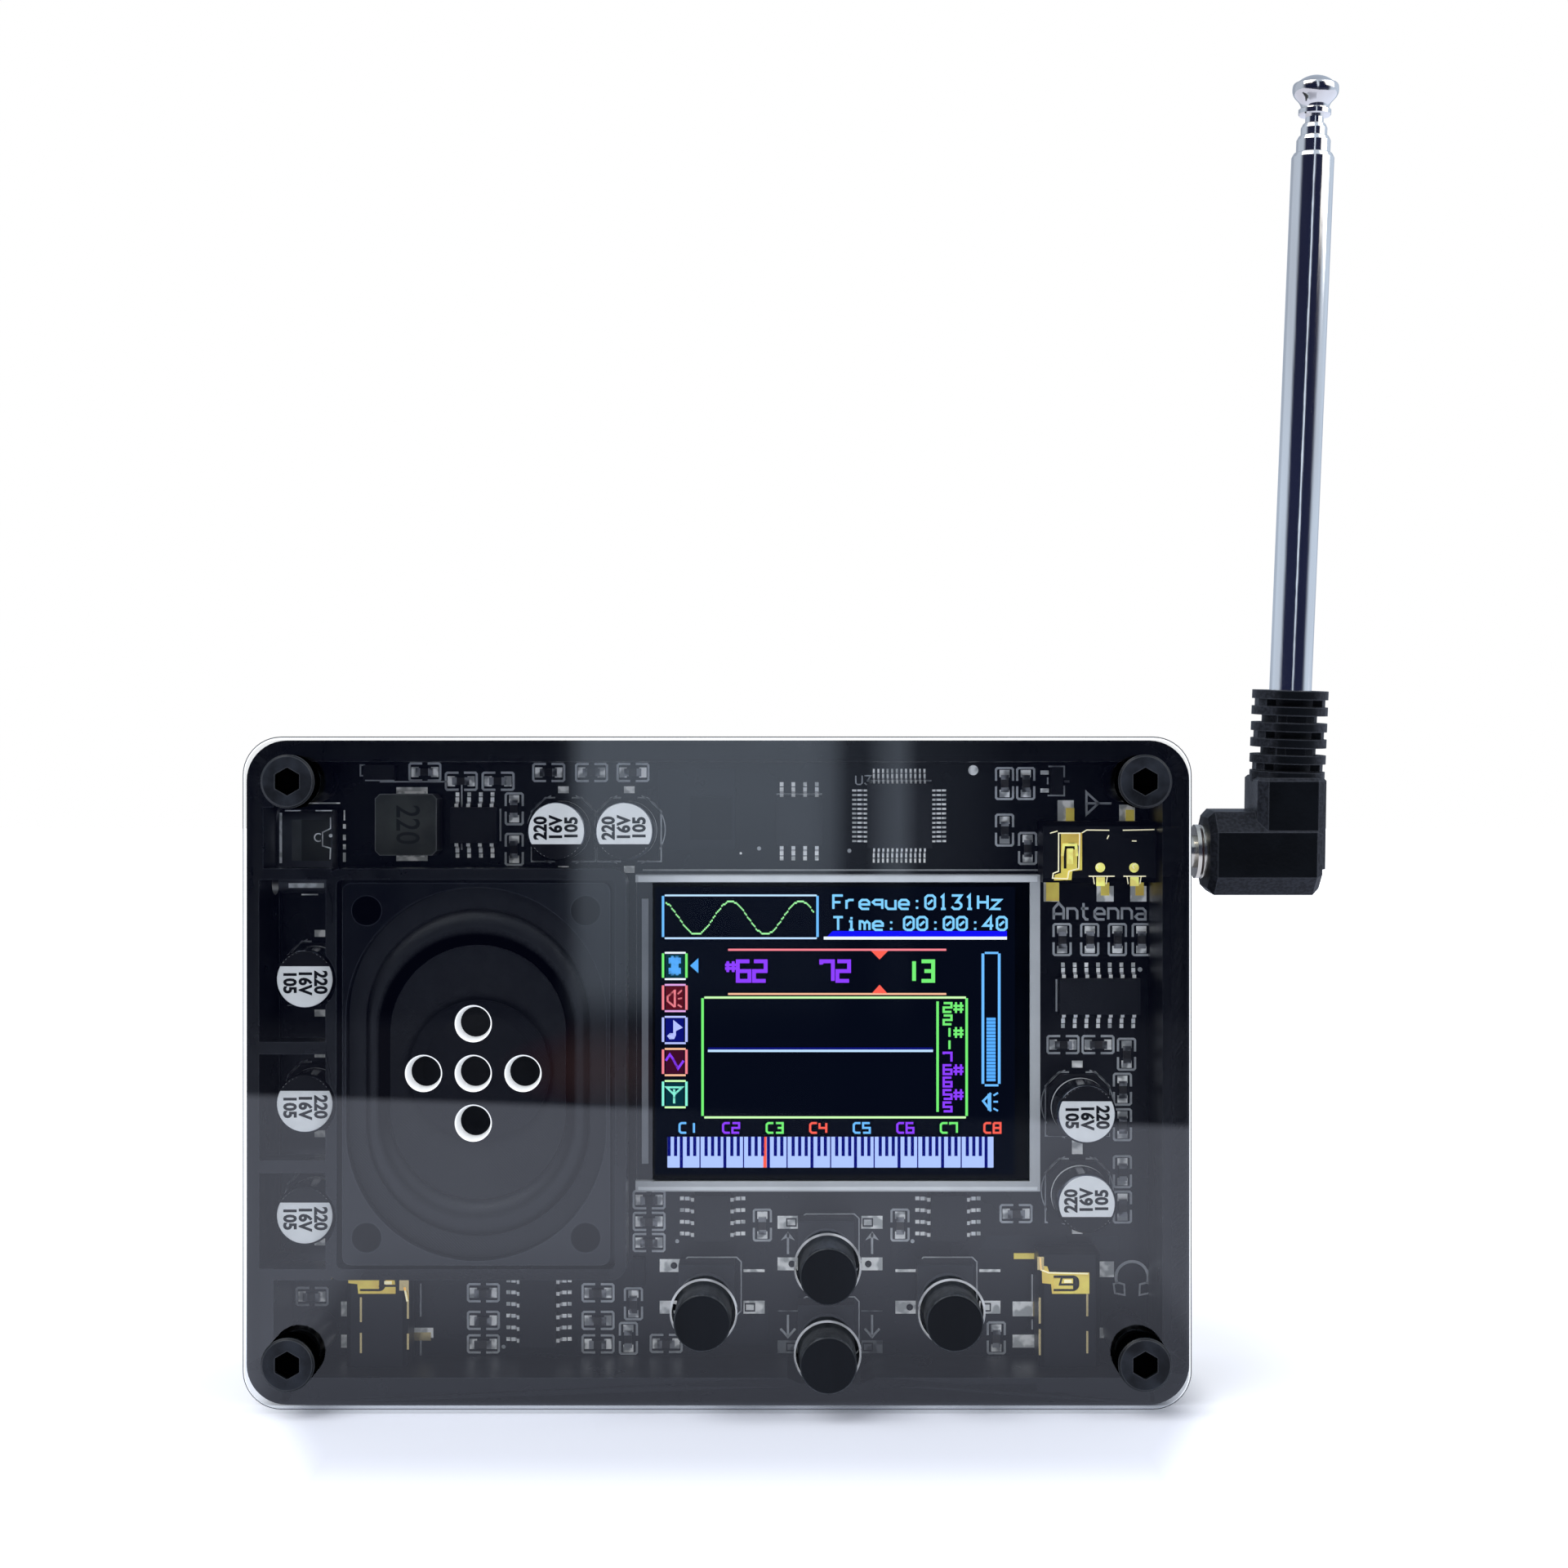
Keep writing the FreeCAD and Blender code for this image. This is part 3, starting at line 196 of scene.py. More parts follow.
def facing_shaded(name, flat_colour, side_colour, roughness=0.4, patch=0.0, side_metal=0.8):
    """Finish that is pale on faces that look to the front and dark and shiny on all the others, a split of
    painted light and shade.
    """
    material = bpy.data.materials.new(name)
    tree = clear_tree(material)
    noise = {"Vector": coordinates(tree), "Scale": 900.0, "Detail": 1.0}
    cloud = add(tree, "ShaderNodeTexNoise", noise).outputs[0]
    front = ramp(tree, facing(tree), 0.88, 0.97)
    pale = blend_colours(tree, ramp(tree, cloud, 0.4, 0.6), *shades(flat_colour, patch))
    # Painted light and shade: the colour follows which way a face looks.
    tint = blend_colours(tree, front, side_colour + (1.0,), pale)
    shader = add(tree, "ShaderNodeBsdfPrincipled",
                 {"Base Color": tint, "Roughness": ramp(tree, front, 0.0, 1.0, 0.18, roughness),
                  "Metallic": ramp(tree, front, 0.0, 1.0, side_metal, 0.0)})
    end_material(tree, shader)
    return material


def paint_shade(material, hidden, share=0.05):
    """Paint shade into a finish: dim it and dull its shine where hidden, a socket from 0 to 1, is high."""
    tree = material.node_tree
    shader = next(n for n in tree.nodes if n.type == "BSDF_PRINCIPLED")
    colour, shine = shader.inputs["Base Color"], shader.inputs["Specular IOR Level"]
    tree.links.new(ramp(tree, hidden, 0.0, 1.0, shine.default_value, 0.0, "LINEAR"), shine)
    dim = (share, share, share, 1)
    dark = add(tree, "ShaderNodeMix", {0: hidden, 6: colour.links[0].from_socket, 7: dim}, data_type="RGBA",
               blend_type="MULTIPLY")
    tree.links.new(dark.outputs[2], colour)


def paint_glow(material, share):
    """Painted glow: let a finish give off a share of its own colour, though it is no lamp."""
    shader = next(n for n in material.node_tree.nodes if n.type == "BSDF_PRINCIPLED")
    colour = shader.inputs["Base Color"].links[0].from_socket
    material.node_tree.links.new(colour, shader.inputs["Emission Color"])
    shader.inputs["Emission Strength"].default_value = share
    return material


def glow(name, colour, strength=1.0):
    """Light of the display in one colour."""
    material = bpy.data.materials.new(name)
    tree = clear_tree(material)
    light = add(tree, "ShaderNodeEmission", {"Color": colour, "Strength": strength})
    end_material(tree, light)
    return material


def dress(node, material):
    """Give a CAD node its material."""
    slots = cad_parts[node].material_slots
    if not slots:
        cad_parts[node].data.materials.append(material)
    for slot in slots:
        slot.material = material


def new_piece(name, mesh, body):
    """Object of a finished mesh that rides on a body."""
    piece = bpy.data.objects.new(name, mesh)
    bpy.context.scene.collection.objects.link(piece)
    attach(piece, body)
    return piece


def solids(node):
    """Lowest and highest corner of each separate solid of a CAD node."""
    copy = bmesh.new()
    copy.from_mesh(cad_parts[node].data)
    bmesh.ops.remove_doubles(copy, verts=copy.verts, dist=1e-6)
    unseen = set(copy.verts)
    found = []
    while unseen:
        stack = [unseen.pop()]
        points = []
        while stack:
            vert = stack.pop()
            points.append(vert.co.copy())
            for edge in vert.link_edges:
                other = edge.other_vert(vert)
                if other in unseen:
                    unseen.remove(other)
                    stack.append(other)
        low = Vector(min(p[i] for p in points) for i in range(3))
        high = Vector(max(p[i] for p in points) for i in range(3))
        found.append((low, high))
    copy.free()
    return sorted(found, key=lambda pair: (round(pair[0].x, 5), round(pair[0].z, 5)))


def arc(x, z, radius, start, end, steps=12):
    """Points of an arc from one angle to another, in degrees, anticlockwise from the right."""
    angles = [math.radians(start + (end - start) * k / steps) for k in range(steps + 1)]
    return [(x + radius * math.cos(a), z + radius * math.sin(a)) for a in angles]


def millimetres(points, x=0.0, z=0.0):
    """Places given in millimetres from X and Z, as places in metres."""
    return [(x + across * MM, z + up * MM) for across, up in points]


# ---------------------------------------------------------------- drawing on flat faces


class Drawing:
    """Flat shapes on a plane that faces the front, gathered into one closed, thin mesh.

    Places and sizes are X and Z in metres, and each shape names its material by number.
    """

    def __init__(self, plane, thickness):
        """Start empty on the plane at that Y."""
        self.plane = plane
        self.front = plane - thickness
        self.verts = []
        self.faces = []
        self.slots = []

    def prism(self, corners, slot=0):
        """Closed thin solid with the given outline."""
        area = sum(a[0] * b[1] - b[0] * a[1] for a, b in zip(corners, corners[1:] + corners[:1]))
        if area < 0:
            corners = corners[::-1]
        base, count = len(self.verts), len(corners)
        self.verts += [(x, self.front, z) for x, z in corners]
        self.verts += [(x, self.plane, z) for x, z in corners]
        back = base + count
        sides = [(base + (k + 1) % count, base + k, back + k, back + (k + 1) % count) for k in range(count)]
        self.faces += [tuple(range(base, back)), tuple(range(back + count - 1, back - 1, -1))]
        self.faces += sides
        self.slots += [slot] * (count + 2)

    def box(self, x0, z0, x1, z1, slot=0):
        """Filled rectangle."""
        self.prism([(x0, z0), (x1, z0), (x1, z1), (x0, z1)], slot)

    def boxes(self, rows, slot=0, x=0.0, z=0.0):
        """Filled rectangles in millimetres from X and Z: left, base, right and top."""
        for left, base, right, top in rows:
            self.box(x + left * MM, z + base * MM, x + right * MM, z + top * MM, slot)

    def disc(self, x, z, radius, slot=0, steps=20):
        """Filled circle."""
        self.prism(arc(x, z, radius, 0, 360 * (steps - 1) / steps, steps - 1), slot)

    def line(self, points, width, slot=0, closed=False):
        """Line of even width through the points, with mitred corners."""
        stops = [Vector(p) for p in points]
        count = len(stops)
        left, right = [], []
        for i, spot in enumerate(stops):
            before = stops[i - 1] if closed or i else None
            after = stops[(i + 1) % count] if closed or i < count - 1 else None
            come = (spot - before).normalized() if before is not None else (after - spot).normalized()
            leave = (after - spot).normalized() if after is not None else come
            side = Vector((-come.y - leave.y, come.x + leave.x))
            side = side.normalized() if side.length > 1e-6 else Vector((-come.y, come.x))
            reach = width / 2 / max(0.4, side.dot(Vector((-come.y, come.x))))
            left.append(tuple(spot + side * reach))
            right.append(tuple(spot - side * reach))
        for i in range(count if closed else count - 1):
            j = (i + 1) % count
            self.prism([left[i], right[i], right[j], left[j]], slot)

    def frame(self, x0, z0, x1, z1, width, slot=0):
        """Empty rectangle."""
        self.line([(x0, z0), (x1, z0), (x1, z1), (x0, z1)], width, slot, closed=True)

    def shell(self, outer, inner, slot=0):
        """Closed film between two equal grids of points."""
        base, rows, columns = len(self.verts), len(outer), len(outer[0])
        for grid in (outer, inner):
            for row in grid:
                self.verts += row

        def at(layer, row, column):
            """Number of a point of one grid."""
            return base + (layer * rows + row) * columns + column

        count = len(self.faces)
        for k in (0, 1):
            self.faces += [(at(k, r, c), at(k, r, c + 1), at(k, r + 1, c + 1), at(k, r + 1, c))
                           for r in range(rows - 1) for c in range(columns - 1)]
        for r in range(rows - 1):
            self.faces += [(at(0, r, c), at(0, r + 1, c), at(1, r + 1, c), at(1, r, c))
                           for c in (0, columns - 1)]
        for c in range(columns - 1):
            self.faces += [(at(0, r, c), at(0, r, c + 1), at(1, r, c + 1), at(1, r, c))
                           for r in (0, rows - 1)]
        self.slots += [slot] * (len(self.faces) - count)

    def words(self, text, x, z, height, slot=0, turn=0.0, squeeze=0.8, weight=0.0):
        """Centred type from Blender's own font, turned in its plane and thickened by weight."""
        curve = bpy.data.curves.new("type", "FONT")
        curve.body = text
        curve.size = height * 1.37
        curve.offset = weight * curve.size
        curve.extrude = (self.plane - self.front) / 2
        curve.align_x = "CENTER"
        curve.align_y = "CENTER"
        curve.resolution_u = 3
        holder = bpy.data.objects.new("type", curve)
        bpy.context.scene.collection.objects.link(holder)
        mesh = bpy.data.meshes.new_from_object(holder.evaluated_get(bpy.context.evaluated_depsgraph_get()))
        bpy.data.objects.remove(holder)
        place = (Matrix.Translation((x, (self.plane + self.front) / 2, z)) @ Matrix.Rotation(-turn, 4, "Y")
                 @ Matrix.Rotation(math.pi / 2, 4, "X") @ Matrix.Diagonal((squeeze, 1, 1, 1)))
        base = len(self.verts)
        self.verts += [tuple(place @ v.co) for v in mesh.vertices]
        self.faces += [tuple(base + i for i in p.vertices) for p in mesh.polygons]
        self.slots += [slot] * len(mesh.polygons)
        bpy.data.meshes.remove(mesh)

    def piece(self, name, body, slot, materials):
        """Turn the drawing into a finished piece."""
        mesh = bpy.data.meshes.new(name)
        mesh.from_pydata(self.verts, [], self.faces)
        for material in materials:
            mesh.materials.append(material)
        mesh.polygons.foreach_set("material_index", self.slots)
        work = bmesh.new()
        work.from_mesh(mesh)
        bmesh.ops.remove_doubles(work, verts=work.verts, dist=1e-7)
        bmesh.ops.recalc_face_normals(work, faces=work.faces)
        work.to_mesh(mesh)
        work.free()
        return new_piece(name, mesh, body)


# Stroke letters on a grid 4 wide and 6 high: each pair of digits is a point, a bar parts the strokes.
STROKES = {
    "0": "10 30 41 45 36 16 05 01 10|12 34", "1": "15 26 20|10 30", "2": "05 16 36 45 44 00 40",
    "3": "06 46 23 33 42 41 30 10 01", "4": "30 36 02 42", "5": "46 06 03 33 42 41 30 10 01",
    "6": "45 36 16 05 01 10 30 41 42 33 03", "7": "06 46 20",
    "8": "13 04 05 16 36 45 44 33 13 02 01 10 30 41 42 33", "9": "01 10 30 41 45 36 16 05 04 13 43",
    ":": "20 21|23 24", "A": "00 04 26 44 40|02 42",
    "F": "00 06 46|03 33", "H": "00 06|40 46|03 43", "T": "06 46|26 20",
    "U": "06 01 10 30 41 46", "a": "04 34 43 40 10 01 12 42",
    "e": "02 42 43 34 14 03 01 10 40", "i": "14 24 20|10 30|26 25", "m": "00 04 14 23 20|23 34 43 40",
    "n": "00 04 34 43 40", "q": "40 44 14 03 12 42", "r": "00 04|03 14 34", "t": "16 11 20 30|04 34",
    "u": "04 01 10 40 44", "z": "04 44 00 40", " ": "",
}


def letters(drawing, text, place, pitch, height, width, slot=0, shapes=STROKES):
    """Stroke lettering. place maps a point of the lettering to X and Z."""
    for index, letter in enumerate(text):
        for stroke in shapes[letter].split("|"):
            points = [(index * pitch + int(p[0]) / 4 * pitch * 0.72, int(p[1]) / 6 * height)
                      for p in stroke.split()]
            if points:
                drawing.line([place(*p) for p in points], width, slot)


# Square figures and letters, on the same grid.
BLOCKS = {
    "1": "36 30", "2": "06 46 43 03 00 40", "3": "06 46 40 00|13 43", "4": "06 03 43|46 40",
    "5": "46 06 03 43 40 00", "6": "46 06 00 40 43 03", "7": "05 06 46 40", "8": "06 46 40 00 06|03 43",
    "C": "46 16 05 01 10 40", "#": "10 16|30 36|02 42|04 44",
}

# Colours of the display's lights, 0 to 255.
LIGHTS = {
    "ground": (5, 9, 22), "sky": (108, 185, 255), "pale": (190, 222, 255), "text": (128, 205, 255),
    "wave": (170, 250, 170), "leaf": (115, 235, 115), "mint": (205, 255, 180), "violet": (140, 62, 255),
    "rose": (240, 128, 140), "sand": (245, 185, 150), "red": (250, 95, 80), "blue": (18, 18, 240),
    "white": (235, 242, 255), "lilac": (225, 165, 225), "lavender": (180, 190, 255), "azure": (86, 170, 250),
    "wine": (85, 14, 30), "plum": (60, 12, 40), "teal": (5, 48, 60), "navy": (10, 16, 112),
    "aqua": (135, 240, 215), "key": (172, 194, 255),
}


class Screen:
    """Drawing on a grid of cells: columns run to the right and rows run down."""

    def __init__(self, left, top, cell, plane):
        """Start empty, with the grid's top left corner and the Y of its plane."""
        self.left = left
        self.top = top
        self.cell = cell
        self.drawing = Drawing(plane, 0.01 * MM)
        self.colours = {name: index for index, name in enumerate(LIGHTS)}

    def at(self, column, row):
        """X and Z of a place on the grid."""
        return self.left + column * self.cell, self.top - row * self.cell

    def block(self, left, high, right, low, colour):
        """Filled rectangle."""
        self.shape([(left, high), (right, high), (right, low), (left, low)], colour)

    def shape(self, corners, colour):
        """Filled outline."""
        self.drawing.prism([self.at(*corner) for corner in corners], self.colours[colour])

    def line(self, points, width, colour, closed=False):
        """Line of even width."""
        self.drawing.line([self.at(*p) for p in points], width * self.cell, self.colours[colour], closed)

    def bars(self, left, high, right, low, side, rim, side_colour, rim_colour):
        """Box of two thick sides and a thin top and bottom, open at its corners."""
        for start in (left, right - side):
            self.block(start, high + rim * 0.8, start + side, low - rim * 1.2, side_colour)
        for start in (high, low - rim):
            self.block(left + side * 1.2, start, right - side * 0.8, start + rim, rim_colour)

    def text(self, words, column, row, pitch, height, width, colour, shapes=None):
        """Stroke letters that stand on the row."""
        letters(self.drawing, words, lambda a, b: self.at(column + a, row - b), pitch, height,
                width * self.cell, self.colours[colour], shapes or STROKES)


# ---------------------------------------------------------------- geometry nodes


def group_tree(name, inputs):
    """Geometry node tree with named inputs; returns it with its input and output nodes."""
    tree = bpy.data.node_groups.new(name, "GeometryNodeTree")
    tree.interface.new_socket("Geometry", in_out="INPUT", socket_type="NodeSocketGeometry")
    for label, value in inputs.items():
        kind = "NodeSocketInt" if isinstance(value, int) else "NodeSocketFloat"
        socket = tree.interface.new_socket(label, in_out="INPUT", socket_type=kind)
        socket.default_value = value
    tree.interface.new_socket("Material", in_out="INPUT", socket_type="NodeSocketMaterial")
    tree.interface.new_socket("Geometry", in_out="OUTPUT", socket_type="NodeSocketGeometry")
    return tree, tree.nodes.new("NodeGroupInput"), tree.nodes.new("NodeGroupOutput")


def finish_tree(tree, source, output, instances):
    """End a tree in real geometry with its material."""
    real = add(tree, "GeometryNodeRealizeInstances", {"Geometry": instances})
    painted = add(tree, "GeometryNodeSetMaterial",
                  {"Geometry": real.outputs[0], "Material": source.outputs["Material"]})
    tree.links.new(painted.outputs[0], output.inputs[0])
    return tree


def end_blocks_tree():
    """A pair of blocks at the ends of each point's part, turned by the point's own angle."""
    tree, source, output = group_tree("End Blocks", {"Spread": 1.3 * MM, "Length": 0.4 * MM,
                                                     "Width": 0.8 * MM, "Height": 0.5 * MM})
    size = add(tree, "ShaderNodeCombineXYZ", {"X": source.outputs["Length"], "Y": source.outputs["Height"],
                                              "Z": source.outputs["Width"]})
    block = add(tree, "GeometryNodeMeshCube", {"Size": size.outputs[0]})
    joined = add(tree, "GeometryNodeJoinGeometry")
    for sign in (-0.5, 0.5):
        shift = add(tree, "ShaderNodeMath", {0: source.outputs["Spread"], 1: sign}, operation="MULTIPLY")
        offset = add(tree, "ShaderNodeCombineXYZ", {"X": shift.outputs[0]})
        moved = add(tree, "GeometryNodeTransform",
                    {"Geometry": block.outputs[0], "Translation": offset.outputs[0]})
        tree.links.new(moved.outputs[0], joined.inputs[0])
    angle = add(tree, "GeometryNodeInputNamedAttribute", {"Name": "turn"}, data_type="FLOAT")
    turn = add(tree, "ShaderNodeCombineXYZ", {"Y": angle.outputs[0]})
    placed = add(tree, "GeometryNodeInstanceOnPoints",
                 {"Points": source.outputs["Geometry"], "Instance": joined.outputs[0],
                  "Rotation": turn.outputs[0]})
    return finish_tree(tree, source, output, placed.outputs[0])


def row_tree():
    """A row of equal blocks along X, as the white keys of a keyboard."""
    tree, source, output = group_tree("Row of Blocks", {"Count": 52, "Pitch": 1.0 * MM, "Width": 0.8 * MM,
                                                        "Thickness": 0.02 * MM, "Height": 3.0 * MM})
    step = add(tree, "ShaderNodeCombineXYZ", {"X": source.outputs["Pitch"]})
    points = add(tree, "GeometryNodeMeshLine", {"Count": source.outputs["Count"], "Offset": step.outputs[0]})
    first = add(tree, "GeometryNodeInputPosition")
    sampled = add(tree, "GeometryNodeSampleIndex", {"Geometry": source.outputs["Geometry"],
                                                    "Value": first.outputs[0], "Index": 0},
                  data_type="FLOAT_VECTOR")
    moved = add(tree, "GeometryNodeTransform",
                {"Geometry": points.outputs[0], "Translation": sampled.outputs[0]})
    size = add(tree, "ShaderNodeCombineXYZ", {"X": source.outputs["Width"], "Y": source.outputs["Thickness"],
                                              "Z": source.outputs["Height"]})
    block = add(tree, "GeometryNodeMeshCube", {"Size": size.outputs[0]})
    placed = add(tree, "GeometryNodeInstanceOnPoints",
                 {"Points": moved.outputs[0], "Instance": block.outputs[0]})
    return finish_tree(tree, source, output, placed.outputs[0])


def grow(name, tree, points, values, material, body, turns=None):
    """Run a tree on a set of points and keep its result as a plain finished piece."""
    seed = bpy.data.meshes.new(name + "_points")
    seed.from_pydata([tuple(p) for p in points], [], [])
    if turns:
        angles = seed.attributes.new("turn", "FLOAT", "POINT")
        angles.data.foreach_set("value", turns)
    holder = bpy.data.objects.new(name + "_points", seed)
    bpy.context.scene.collection.objects.link(holder)
    modifier = holder.modifiers.new("Build", "NODES")
    modifier.node_group = tree
    for item in tree.interface.items_tree:
        if item.in_out == "INPUT" and item.name in values:
            modifier[item.identifier] = values[item.name]
        elif item.in_out == "INPUT" and item.name == "Material":
            modifier[item.identifier] = material
    evaluated = holder.evaluated_get(bpy.context.evaluated_depsgraph_get())
    mesh = bpy.data.meshes.new_from_object(evaluated)
    mesh.name = name
    bpy.data.objects.remove(holder)
    return new_piece(name, mesh, body)


# ---------------------------------------------------------------- settings a user would change


class PanelSettings(bpy.types.PropertyGroup):
    """Clear front panel."""

    ior: FloatProperty(name="Gloss index", description="Index that sets how strongly the panel mirrors",
                       default=1.49, min=1.0, max=2.0)
    edge_colour: FloatVectorProperty(name="Cut edges", description="Colour of the bright cut edges",
                                     subtype="COLOR", size=4, default=(0.93, 0.95, 0.97, 1.0))
    bright_bevel: FloatProperty(name="Bright bevel", description="Depth of the bevel that catches the light",
                                subtype="DISTANCE", default=0.18 * MM)
    window_share: FloatProperty(name="Window gloss", subtype="FACTOR", default=0.07, min=0.0, max=1.0,
                                description="Share of the gloss left in the coated window over the display")


class BoardSettings(bpy.types.PropertyGroup):
    """Main board and its printing."""

    mask_colour: FloatVectorProperty(name="Board", description="Colour of the board's lacquer",
                                     subtype="COLOR", size=4, default=(0.0008, 0.0012, 0.0022, 1.0))
    print_colour: FloatVectorProperty(name="Print", description="Colour of the printed outlines",
                                      subtype="COLOR", size=4, default=(0.5, 0.52, 0.55, 1.0))
    line_width: FloatProperty(name="Line width", description="Width of the printed outlines",
                              subtype="DISTANCE", default=0.24 * MM)
    outline_length: FloatProperty(name="Outline length", description="Length of a small part's outline",
                                  subtype="DISTANCE", default=3.35 * MM)
    outline_width: FloatProperty(name="Outline width", description="Width of a small part's outline",
                                 subtype="DISTANCE", default=1.85 * MM)
    via_count: IntProperty(name="Vias", description="Number of small plated holes", default=26, min=0)
    via_seed: IntProperty(name="Via seed", description="Seed that places the plated holes", default=7)
    capacity: StringProperty(name="Capacity", description="Number printed on the capacitors", default="220")
    voltage: StringProperty(name="Voltage", description="Rated voltage printed on the capacitors",
                            default="16V")


class DisplaySettings(bpy.types.PropertyGroup):
    """Picture on the display."""

    cell: FloatProperty(name="Cell", description="Size of one cell of the picture's grid",
                        subtype="DISTANCE", default=0.1208 * MM)
    columns: IntProperty(name="Columns", description="Cells across the picture", default=320)
    rows: IntProperty(name="Rows", description="Cells down the picture", default=256)
    right_margin: FloatProperty(name="Right margin", description="Glass edge to picture edge",
                                subtype="DISTANCE", default=1.5 * MM)
    top_margin: FloatProperty(name="Top margin", description="Glass edge to picture edge",
                              subtype="DISTANCE", default=0.4 * MM)
    pitch_text: StringProperty(name="Pitch", description="First line of text", default="Freque:0131Hz")
    clock_label: StringProperty(name="Clock label", description="Start of the second line", default="Time:")
    clock_text: StringProperty(name="Clock", description="Rest of the second line", default="00:00:40")
    brightness: FloatProperty(name="Brightness", description="Strength of the display's light", default=1.15)
    lit_key: IntProperty(name="Lit key", description="White key shown in red", default=15, min=0, max=51)


class StageSettings(bpy.types.PropertyGroup):
    """Camera, floor and light."""

    camera_place: FloatVectorProperty(name="Camera", description="Place of the camera", subtype="TRANSLATION",
                                      size=3, default=(6.9 * MM, -242.5 * MM, 64.85 * MM))
    lens: FloatProperty(name="Lens", description="Focal length on a 36 mm sensor, in millimetres",
                        default=51.2)
    ambient: FloatProperty(name="Ambient", description="Strength of the light from all round", default=0.6)
    key_power: FloatProperty(name="Key light", description="Power of the main lamp", subtype="POWER",
                             default=2.6)
    fill_power: FloatProperty(name="Fill light", description="Power of the second lamp", subtype="POWER",
                              default=1.2)
    mirror_level: FloatProperty(name="Mirrored white", description="Brightness of what shiny faces mirror",
                                default=1.0)
    room_white: FloatVectorProperty(name="Room white", subtype="COLOR", size=3, min=0.0, max=2.0,
                                    description="Colour of the mirrored room's bright parts",
                                    default=(0.81, 0.95, 1.17))
    floor_white: FloatVectorProperty(name="Floor white", description="Colour of the mirrored floor",
                                     subtype="COLOR", size=3, min=0.0, max=2.0, default=(0.79, 0.85, 1.05))
    floor_lift: FloatProperty(name="Floor lift", description="Light added to the floor for the eye only",
                              default=0.95)
    near_lift: FloatProperty(name="Near lift", default=0.35,
                             description="Light added to the floor a little in front of the case")


class THEREMIN_settings(bpy.types.PropertyGroup):
    """All settings of the theremin."""

    panel: PointerProperty(type=PanelSettings)
    board: PointerProperty(type=BoardSettings)
    display: PointerProperty(type=DisplaySettings)
    stage: PointerProperty(type=StageSettings)


def settings():
    """The scene's settings."""
    return bpy.context.scene.theremin


# ---------------------------------------------------------------- case


